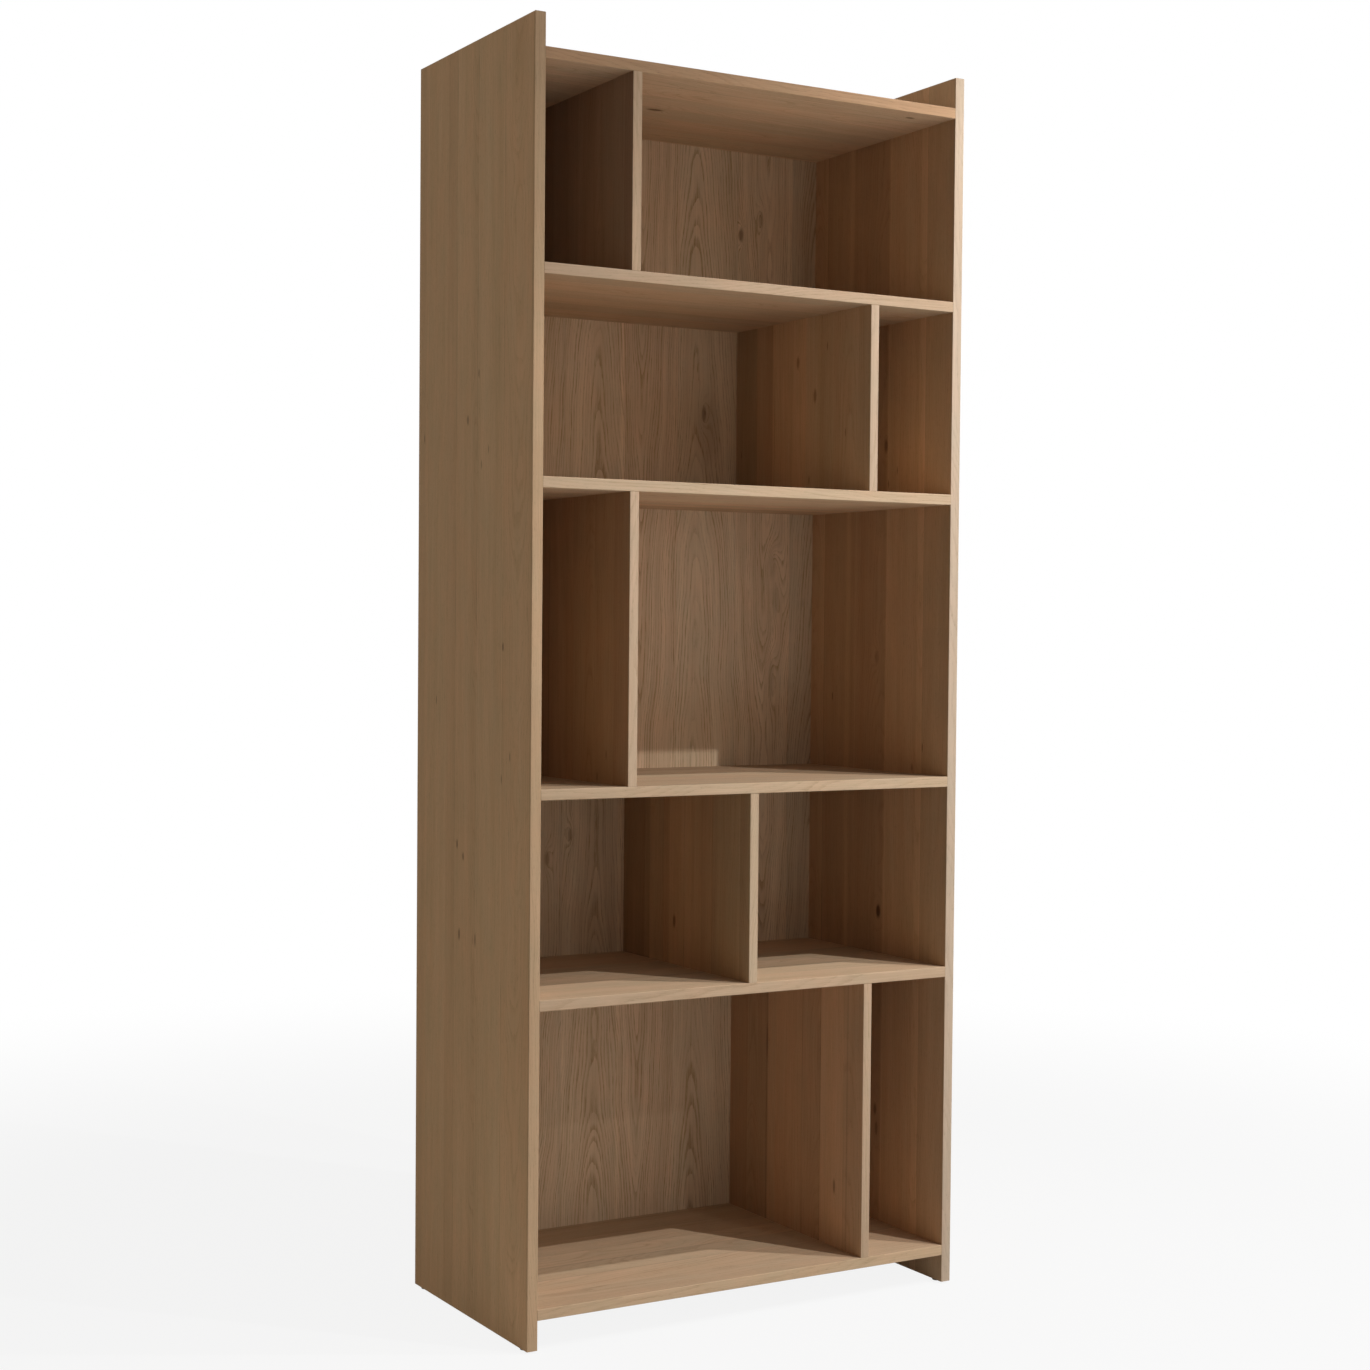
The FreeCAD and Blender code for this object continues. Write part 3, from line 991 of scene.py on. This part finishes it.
@dataclass(frozen=True)
class BeechFinish:
    """Fluted beech of the dowels: pale, close-grained, with short dark ray flecks."""

    pale: Colour = (0.640, 0.460, 0.310)
    dark: Colour = (0.500, 0.330, 0.205)
    fleck: Colour = (0.330, 0.195, 0.110)
    surface: SurfaceSettings = SurfaceSettings(specular=0.3, bump_depth=0.00008)
    grain_layer: Layer = Layer(1.1, 40.0, detail=3.0)
    fleck_layer: Layer = Layer(0.45, 2.2, detail=1.0)
    grain_span: Span = (0.25, 0.75)
    fleck_span: Span = (0.62, 0.72)
    fleck_cover: float = 0.6
    roughness: float = 0.52
    grain_effect: Effect = Effect(rough=0.2, height=0.6)
    fleck_effect: Effect = Effect(rough=0.1, height=-0.4)

    def material(self, name: str, along: int) -> Material:
        """Make the beech.

        Args:
            name: the material's name.
            along: the index of the axis that the dowels lie along.

        Returns:
            The material.
        """
        material, loom, shader = new_material(name, self.surface)
        place = loom.place()
        noises = []
        for layer in (self.grain_layer, self.fleck_layer):
            sizes = [layer.across] * len(place)
            sizes[along] = layer.along
            scaled = (part / size for part, size in zip(place, sizes))
            noises.append(loom.noise(*scaled, detail=layer.detail))
        grain, fleck = noises[0], noises[1].rise(*self.fleck_span)
        colour = loom.blend(self.pale, self.dark, grain.rise(*self.grain_span))
        colour = loom.blend(colour, self.fleck, fleck * self.fleck_cover)
        loom.tree.links.new(colour, shader.inputs["Base Color"])
        rough = self.roughness + grain.swing(self.grain_effect.rough)
        rough = rough + fleck * self.fleck_effect.rough
        connect(loom.tree, rough, shader.inputs["Roughness"])
        height = grain * self.grain_effect.height + fleck * self.fleck_effect.height
        add_relief(loom, shader, height, self.surface)
        return material


@dataclass(frozen=True)
class ZincFinish:
    """Bright zinc plate on steel: a fine spangle, a faint warm and cool drift, worn spots."""

    bright: Colour = (0.640, 0.645, 0.650)
    cool: Colour = (0.540, 0.565, 0.600)
    warm: Colour = (0.620, 0.590, 0.520)
    spangle: float = 1.4
    rolled: float = 0.0
    surface: SurfaceSettings = SurfaceSettings(metallic=1.0, bump_depth=0.00003)
    drift_size: float = 14.0
    scratch_length: float = 6.0
    scratch_width: float = 0.35
    drift_span: Span = (0.30, 0.70)
    bright_share: Span = (0.2, 0.8)
    roughness: float = 0.28
    tone_effect: Effect = Effect(rough=0.10, height=0.3)
    drift_effect: Effect = Effect(rough=0.16, height=0.3)
    scratch_effect: Effect = Effect(rough=0.06, height=0.2)

    def material(self, name: str) -> Material:
        """Make the plated steel.

        Args:
            name: the material's name.

        Returns:
            The material.
        """
        material, loom, shader = new_material(name, self.surface)
        place = loom.place()
        cell = loom.cells(*(part / self.spangle for part in place))
        tone, _, _ = loom.parts(cell.outputs["Color"])
        drift = loom.noise(*(part / self.drift_size for part in place), detail=3.0)
        sizes = (self.scratch_length, self.scratch_width, self.scratch_width)
        scratch = loom.noise(*(part / size for part, size in zip(place, sizes)))
        colour = loom.blend(self.cool, self.warm, drift.rise(*self.drift_span))
        colour = loom.blend(colour, self.bright, tone.between(*self.bright_share))
        loom.tree.links.new(colour, shader.inputs["Base Color"])
        rough = self.roughness + tone * self.tone_effect.rough
        rough = rough + drift.swing(self.drift_effect.rough)
        rough = rough + scratch.swing(self.scratch_effect.rough + self.rolled)
        connect(loom.tree, rough, shader.inputs["Roughness"])
        height = tone * self.tone_effect.height + drift * self.drift_effect.height
        height = height + scratch * (self.scratch_effect.height + self.rolled)
        add_relief(loom, shader, height, self.surface)
        return material


@dataclass(frozen=True)
class PlasticFinish:
    """Moulded dark brown plastic of the glides: fine spark texture, scuffed paler in patches."""

    body: Colour = (0.060, 0.042, 0.031)
    scuffed: Colour = (0.140, 0.100, 0.075)
    surface: SurfaceSettings = SurfaceSettings(specular=0.45, bump_depth=0.00006)
    spark_size: float = 0.5
    scuff_length: float = 7.0
    scuff_width: float = 3.0
    scuff_span: Span = (0.52, 0.75)
    scuff_cover: float = 0.7
    spark_cover: float = 0.2
    roughness: float = 0.46
    spark_effect: Effect = Effect(rough=0.12, height=0.6)
    scuff_effect: Effect = Effect(rough=0.15, height=0.3)

    def material(self, name: str) -> Material:
        """Make the plastic.

        Args:
            name: the material's name.

        Returns:
            The material.
        """
        material, loom, shader = new_material(name, self.surface)
        place = loom.place()
        spark = loom.noise(*(part / self.spark_size for part in place))
        sizes = (self.scuff_length, self.scuff_width, self.scuff_width)
        scaled = (part / size for part, size in zip(place, sizes))
        scuff = loom.noise(*scaled, detail=4.0, rough=0.65).rise(*self.scuff_span)
        cover = scuff * self.scuff_cover + spark * self.spark_cover
        colour = loom.blend(self.body, self.scuffed, cover)
        loom.tree.links.new(colour, shader.inputs["Base Color"])
        rough = self.roughness + spark * self.spark_effect.rough
        rough = rough + scuff * self.scuff_effect.rough
        connect(loom.tree, rough, shader.inputs["Roughness"])
        height = spark * self.spark_effect.height + scuff * self.scuff_effect.height
        add_relief(loom, shader, height, self.surface)
        return material


def dress(nodes: Nodes, names: Iterable[str], material: Material) -> None:
    """Put a material on carried-over nodes.

    Args:
        nodes: the frame's objects by name.
        names: which of them to dress.
        material: what they wear.
    """
    for name in names:
        piece = nodes[name]
        piece.data.materials.clear()
        piece.data.materials.append(material)
        log.info("dressed %s in %s", name, material.name)


@dataclass
class Joinery:
    """The oak boards of the case: sides, level boards, dividers and back."""

    nodes: Nodes
    oak: OakFinish = OakFinish()
    side_seeds: Tuple[float, float] = (1.0, 2.0)
    level_seed: float = 3.0
    divider_seed: float = 30.0
    back_seed: float = 20.0
    side_cut: Cut = Cut(stave_width=92.0, ring_width=4.0, figure=0.35)
    board_cut: Cut = Cut(
        stave_width=66.0, pith_reach=2.4, pith_depth=40.0, ring_width=4.4, figure=0.5
    )
    divider_cut: Cut = Cut(stave_width=72.0, ring_width=4.4, figure=0.4)
    back_cut: Cut = Cut(
        stave_width=115.0,
        stave_start=-79.0,
        scatter=0.15,
        pith_reach=0.35,
        pith_depth=13.0,
        ring_width=4.2,
        figure=1.65,
        flecks=0.4,
    )
    # The sides' tints are partly painted light and shade: both sides are the same oak, and the
    # left side is made warmer while the right side is made darker and warmer, after how the light
    # falls on each.
    left_side_colour_and_painted_light: Colour = (1.06, 0.98, 0.84)
    right_side_colour_and_painted_shade: Colour = (0.92, 0.84, 0.77)
    # The back's tint is partly painted light: it makes the whole back lighter and cooler than the
    # oak is written.
    back_colour_and_painted_light: Colour = (1.11, 1.15, 1.17)
    # The sides' edge tints are partly painted light: the right side's front edge, which the lamps
    # light most, is made much lighter and cooler.
    left_side_edge_colour_and_painted_light: Colour = (1.06, 1.01, 0.94)
    right_side_edge_colour_and_painted_light: Colour = (1.18, 1.26, 1.43)
    # The level boards' tones are partly painted light and shade: each board is made lighter or
    # darker as a whole after how much light reaches it.
    level_tones_and_painted_light: Tuple[float, ...] = (1.11, 0.86, 1.10, 0.77, 0.99, 0.96)
    # The dividers' tints are partly painted shade: each divider is made darker and warmer as a
    # whole after how little light reaches its side, the first divider most.
    divider_colours_and_painted_shade: Tuple[Colour, ...] = (
        (0.66, 0.63, 0.65),
        (0.94, 0.92, 0.88),
        (0.78, 0.70, 0.63),
        (0.88, 0.83, 0.74),
        (1.01, 0.90, 0.83),
    )

    def sides(self) -> Tuple[Board, ...]:
        """List the two side panels, with the knots and pin marks that they show.

        Returns:
            The left and the right side.
        """
        left_marks = (
            GrainMark(49.0, 747.0, 5.0, 14.0, 5.0, 0.6),
            GrainMark(27.0, 729.0, 5.0, 12.0, 4.0, 0.6),
            GrainMark(40.0, 604.0, 5.0, 18.0, 6.0, 0.7),
            GrainMark(-17.0, 602.0, 4.0, 20.0, 4.0, 0.6),
            GrainMark(18.0, 1415.0, 5.0, 14.0, 5.0, 0.6),
            GrainMark(-20.0, 1485.0, 4.0, 12.0, 4.0, 0.5),
            GrainMark(-107.0, 1061.0, 5.0, 12.0, 5.0, 0.6),
        )
        right_marks = (
            GrainMark(-22.0, 1409.0, 9.0, 22.0, 12.0, 0.6),
            GrainMark(-14.0, 604.0, 11.0, 22.0, 12.0, 1.0),
            GrainMark(-11.0, 258.0, 8.0, 18.0, 10.0, 0.6),
            GrainMark(-15.0, 225.0, 7.0, 22.0, 9.0, 0.5),
            GrainMark(-2.0, 1045.0, 11.0, 22.0, 12.0, 0.3),
        )
        # The lighter band along the front of the right side is partly the tone of its front stave
        # and partly painted light from the front.
        right_streaks = (
            Streak(-155.0, 42.0, 0.12),
            Streak(20.0, 44.0, -0.08),
            Streak(84.0, 7.0, 0.16, 5.0),
        )
        left_streaks = (Streak(-10.0, 14.0, -0.06, 8.0), Streak(190.0, 16.0, -0.10, 8.0))
        sides = {
            "left_side_panel": (self.left_side_colour_and_painted_light, left_marks, left_streaks, self.left_side_edge_colour_and_painted_light),
            "right_side_panel": (self.right_side_colour_and_painted_shade, right_marks, right_streaks, self.right_side_edge_colour_and_painted_light),
        }
        return tuple(
            Board(name, Grain.UPRIGHT_DEEP, seed, self.side_cut, *looks)
            for seed, (name, looks) in zip(self.side_seeds, sides.items())
        )

    def level_boards(self) -> Tuple[Board, ...]:
        """List the top, the shelves and the bottom.

        Returns:
            The boards from top to bottom.
        """
        knots = {
            "top_panel": (
                GrainMark(0.0, -74.0, 11.0, 28.0, 10.0, 0.85),
                GrainMark(-166.0, 315.0, 8.0, 16.0, 9.0, 0.8),
            ),
        }
        # Edge tints per board are partly painted light and shade: the bottom's front edge is made
        # lighter where the lamps catch it, and the top's darker where its left end lies in shade.
        edge_colours_with_painted_light = {
            "top_panel": (0.95, 0.83, 0.75),
            "shelf_1": (1.02, 1.00, 1.03),
            "shelf_2": (1.14, 1.17, 1.20),
            "shelf_3": (1.16, 1.18, 1.20),
            "bottom_panel": (1.27, 1.27, 1.23),
        }
        return tuple(
            Board(
                name,
                Grain.LEVEL,
                self.level_seed + number,
                self.board_cut,
                (tone, tone, tone),
                knots.get(name, ()),
                edge_colour_and_painted_light=edge_colours_with_painted_light.get(name, Board.edge_colour_and_painted_light),
            )
            for number, (name, tone) in enumerate(zip(LEVEL_BOARDS, self.level_tones_and_painted_light))
        )

    def dividers(self) -> Tuple[Board, ...]:
        """List the five dividers.

        Returns:
            The dividers from top to bottom.
        """
        knots = {
            2: (
                GrainMark(6.0, 1543.0, 8.0, 20.0, 10.0, 0.45),
                GrainMark(-45.0, 1483.0, 8.0, 22.0, 9.0, 0.5),
            ),
            4: (GrainMark(27.0, 604.0, 8.0, 20.0, 10.0, 0.6),),
            5: (
                GrainMark(79.0, 377.0, 5.0, 60.0, 7.0, 0.45),
                GrainMark(-123.0, 166.0, 6.0, 22.0, 9.0, 0.5),
            ),
        }
        streaks = {
            2: (Streak(141.0, 60.0, -0.26), Streak(-20.0, 40.0, 0.10)),
            4: (
                Streak(153.0, 46.0, -0.20),
                Streak(10.0, 34.0, 0.14),
                Streak(-80.0, 24.0, -0.08),
            ),
            5: (
                Streak(139.0, 60.0, -0.18),
                Streak(79.0, 2.5, -0.22, 2.0),
                Streak(-157.0, 2.0, -0.16, 1.5),
            ),
        }
        # Edge tints per divider are partly painted light: lighter and cooler where the lamps
        # catch the front edges.
        edge_colours_with_painted_light = {2: (1.10, 1.14, 1.24), 3: (1.20, 1.24, 1.31), 5: (1.00, 0.99, 1.01)}
        return tuple(
            Board(
                f"divider_{tier}",
                Grain.UPRIGHT_DEEP,
                self.divider_seed + tier,
                self.divider_cut,
                tint,
                knots.get(tier, ()),
                streaks.get(tier, ()),
                edge_colours_with_painted_light.get(tier, Board.edge_colour_and_painted_light),
            )
            for tier, tint in enumerate(self.divider_colours_and_painted_shade, start=1)
        )

    def back(self) -> Board:
        """Describe the back panel, whose figure is flames with a few knots.

        Returns:
            The back panel.
        """
        knots = (
            GrainMark(222.0, 1788.0, 9.0, 24.0, 16.0, 0.6),
            GrainMark(264.0, 1819.0, 8.0, 26.0, 16.0, 0.35),
            GrainMark(148.0, 1469.0, 10.0, 30.0, 18.0, 0.6),
            GrainMark(156.0, 1440.0, 46.0, 120.0, 6.0, 0.22),
            GrainMark(296.0, 1207.0, 16.0, 44.0, 24.0, 0.15),
            GrainMark(302.0, 1145.0, 14.0, 44.0, 20.0, 0.15),
            GrainMark(295.0, 1001.0, 12.0, 60.0, 18.0, 0.2),
            GrainMark(-159.0, 699.0, 9.0, 24.0, 14.0, 0.4),
            GrainMark(-115.0, 738.0, 8.0, 22.0, 14.0, 0.4),
        )
        leaves = (Streak(36.0, 57.0, 0.10), Streak(-79.0, 57.0, -0.05))
        return Board(
            "back_panel",
            Grain.UPRIGHT_WIDE,
            self.back_seed,
            self.back_cut,
            self.back_colour_and_painted_light,
            knots,
            leaves,
        )

    def dress(self) -> None:
        """Grow the oak of every board."""
        wood, mark_tree = self.oak.wood_group(), self.oak.mark_group()
        for board in (*self.sides(), *self.level_boards(), *self.dividers()):
            made = board.material(self.oak, wood, mark_tree)
            dress(self.nodes, (board.node,), made)
        back = self.back()
        made = back.material(self.oak, wood, mark_tree)
        dress(self.nodes, (back.node,), made)


@dataclass
class Fastenings:
    """Dowels, screws, nails, glides and wall brackets."""

    nodes: Nodes
    beech: BeechFinish = BeechFinish()
    plate: ZincFinish = ZincFinish()
    sheet: ZincFinish = ZincFinish(spangle=5.0, rolled=0.10)
    plastic: PlasticFinish = PlasticFinish()
    level_axis: int = 0
    upright_axis: int = 2

    def dress(self) -> None:
        """Finish each kind of fastening."""
        level = [name + "_dowels" for name in LEVEL_BOARDS]
        upright = [f"divider_{tier}_dowels" for tier in range(1, 6)]
        lying = self.beech.material("beech_level_dowels", self.level_axis)
        standing = self.beech.material("beech_upright_dowels", self.upright_axis)
        dress(self.nodes, level, lying)
        dress(self.nodes, upright, standing)
        plated = ("back_panel_screws", "wall_bracket_screws", "foot_glide_nails")
        dress(self.nodes, plated, self.plate.material("zinc_fasteners"))
        brackets = ("wall_bracket_left", "wall_bracket_right")
        dress(self.nodes, brackets, self.sheet.material("zinc_brackets"))
        glides = self.plastic.material("glide_plastic_moulded")
        dress(self.nodes, ("foot_glides",), glides)


@dataclass(frozen=True)
class Lamp:
    """A spot lamp above the case. It shines down unless it is aimed, and its rim is soft."""

    name: str
    place: Place
    watts: float
    cone: float = 146.0
    radius: float = 0.02
    blur: float = 1.0
    aim: Place = (0.0, 0.0, -1.0)
    colour: Colour = WHITE


@dataclass(frozen=True)
class SoftBox:
    """A broad patch of soft light in the world: its way from the case, strength and colour."""

    way: Place
    strength: float
    colour: Colour = WHITE


@dataclass
class Studio:
    """Floor, world, lamps and camera."""

    floor_half: float = 9.0
    floor_steps: int = 48
    floor_tone: float = 0.57
    shadow_share: float = 0.12
    fade_from: float = 1.2
    fade_to: float = 3.2
    soft_boxes: Tuple[SoftBox, ...] = (
        SoftBox((0.7071, -0.7071, 0.0), 0.74),
        SoftBox((0.0, -1.0, 0.0), 0.10),
        SoftBox((-0.7071, 0.7071, 0.0), 0.72, WARM),
        SoftBox((0.0, 1.0, 0.0), 0.30),
    )
    picture: float = 1370.0
    focal: float = 2214.42
    sensor: float = 36.0
    centre_x: float = 578.185
    centre_y: float = 701.413
    eye: Place = (-1.93516, -3.11238, 1.08220)
    azimuth: float = 29.01445
    pitch: float = -1.75740
    roll: float = 0.40546
    farthest: float = 100.0
    lamps: Tuple[Lamp, ...] = (
        Lamp("lamp_front", (1.288, -1.988, 3.212), 248.0),
        Lamp("lamp_near", (1.309, -1.093, 3.048), 139.0, cone=118.0, blur=0.35),
        Lamp("lamp_floor_right", (1.50, -1.50, 2.60), 625.0, cone=46.0, colour=WARM),
        Lamp("lamp_floor_front", (0.20, -3.00, 2.60), 610.0, cone=46.0),
        Lamp(
            "lamp_far",
            (1.09, -3.92, 3.10),
            30.0,
            cone=17.0,
            blur=0.7,
            aim=(-1.09, 3.72, -3.15),
        ),
    )

    def floor(self) -> None:
        """Build the floor, a level square grid of points at height 0."""
        row = self.floor_steps + 1
        line = np.linspace(-self.floor_half, self.floor_half, row)
        x, y = np.meshgrid(line, line)
        points = np.stack([x.ravel(), y.ravel(), np.zeros(x.size)], axis=1)
        steps = np.arange(self.floor_steps)
        first = (steps[:, None] * row + steps).ravel()
        faces = np.stack([first, first + 1, first + row + 1, first + row], axis=1)
        mesh = bpy.data.meshes.new("studio_floor")
        mesh.from_pydata(points.tolist(), [], faces.tolist())
        piece = bpy.data.objects.new("studio_floor", mesh)
        bpy.context.scene.collection.objects.link(piece)
        mesh.materials.append(self.floor_paint())

    def floor_paint(self) -> Material:
        """Make the floor's paint.

        A share of it is plain matt white that takes the shadow, the rest is white to the camera
        and to mirrors. The matt share fades with distance from the case.

        Returns:
            The material.
        """
        material = bpy.data.materials.new("studio_floor_paint")
        material.use_nodes = True
        tree = material.node_tree
        tree.nodes.clear()
        loom = Loom(tree)
        x, y, _ = loom.place()
        away = (x.squared() + y.squared()).root() / MM_PER_M
        far = away.rise(self.fade_from, self.fade_to)
        glow_share = loom.seen() * (1.0 - (1.0 - far) * self.shadow_share)
        matt = tree.nodes.new("ShaderNodeBsdfDiffuse")
        matt.inputs["Color"].default_value = (*(self.floor_tone,) * 3, 1.0)
        glow = tree.nodes.new("ShaderNodeEmission")
        glow.inputs["Strength"].default_value = 1.0
        mix = tree.nodes.new("ShaderNodeMixShader")
        end = tree.nodes.new("ShaderNodeOutputMaterial")
        connect(tree, glow_share, mix.inputs[0])
        tree.links.new(matt.outputs[0], mix.inputs[1])
        tree.links.new(glow.outputs[0], mix.inputs[2])
        tree.links.new(mix.outputs[0], end.inputs[0])
        return material

    def world(self) -> None:
        """Make the world: white to the camera and to mirrors, soft boxes to all else.

        A soft box shines with the square of the cosine between its way and the ray's.
        """
        world = bpy.data.worlds.new("studio_world")
        world.use_nodes = True
        bpy.context.scene.world = world
        tree, loom = world.node_tree, Loom(world.node_tree)
        seen = loom.seen()
        x, y, z = loom.coordinates("Generated")
        glow: Tuple[Value, ...] = (0.0, 0.0, 0.0)
        for box in self.soft_boxes:
            cosine = x * box.way[0] + y * box.way[1] + z * box.way[2]
            lobe = cosine.largest(0.0).squared() * box.strength
            glow = tuple(lobe * part + other for part, other in zip(box.colour, glow))
        colour = loom.point(*(seen.largest(part) for part in glow))
        tree.links.new(colour, tree.nodes["Background"].inputs["Color"])

    def light(self) -> None:
        """Hang the lamps."""
        for lamp in self.lamps:
            data = bpy.data.lights.new(lamp.name, "SPOT")
            data.energy = lamp.watts
            data.color = lamp.colour
            data.shadow_soft_size = lamp.radius
            data.spot_size = math.radians(lamp.cone)
            data.spot_blend = lamp.blur
            piece = bpy.data.objects.new(lamp.name, data)
            piece.location = lamp.place
            piece.rotation_euler = Vector(lamp.aim).to_track_quat("-Z", "Y").to_euler()
            bpy.context.scene.collection.objects.link(piece)

    def camera(self) -> None:
        """Set up the camera.

        The line of sight goes along +Y turned by the azimuth towards +X and lowered by the pitch.
        Right and up follow from it, turned by the roll. The shift puts the picture's centre where
        the line of sight isn't.
        """
        turn, dip, lean = (
            math.radians(a) for a in (self.azimuth, self.pitch, self.roll)
        )
        ahead = Vector(
            (
                math.sin(turn) * math.cos(dip),
                math.cos(turn) * math.cos(dip),
                math.sin(dip),
            )
        )
        level = Vector((math.cos(turn), -math.sin(turn), 0.0))
        above = level.cross(ahead)
        right = level * math.cos(lean) + above * math.sin(lean)
        up = above * math.cos(lean) - level * math.sin(lean)
        data = bpy.data.cameras.new("photo_camera")
        data.sensor_width = self.sensor
        data.lens = self.focal / self.picture * self.sensor
        data.shift_x = (self.picture / 2.0 - self.centre_x) / self.picture
        data.shift_y = (self.centre_y - self.picture / 2.0) / self.picture
        data.clip_end = self.farthest
        piece = bpy.data.objects.new("photo_camera", data)
        axes = Matrix((right, up, -ahead)).transposed().to_4x4()
        piece.matrix_world = Matrix.Translation(self.eye) @ axes
        bpy.context.scene.collection.objects.link(piece)
        bpy.context.scene.camera = piece

    def build(self) -> None:
        """Set up the whole studio."""
        self.floor()
        self.world()
        self.light()
        self.camera()
        bpy.context.scene.view_settings.view_transform = "Standard"
        log.info("studio ready")


def main() -> None:
    """Load the frame, dress it and set up the studio."""
    logging.basicConfig(level=logging.INFO, format="%(message)s")
    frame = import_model()
    Joinery(frame["nodes"]).dress()
    Fastenings(frame["nodes"]).dress()
    Studio().build()


if __name__ == "__main__":
    main()
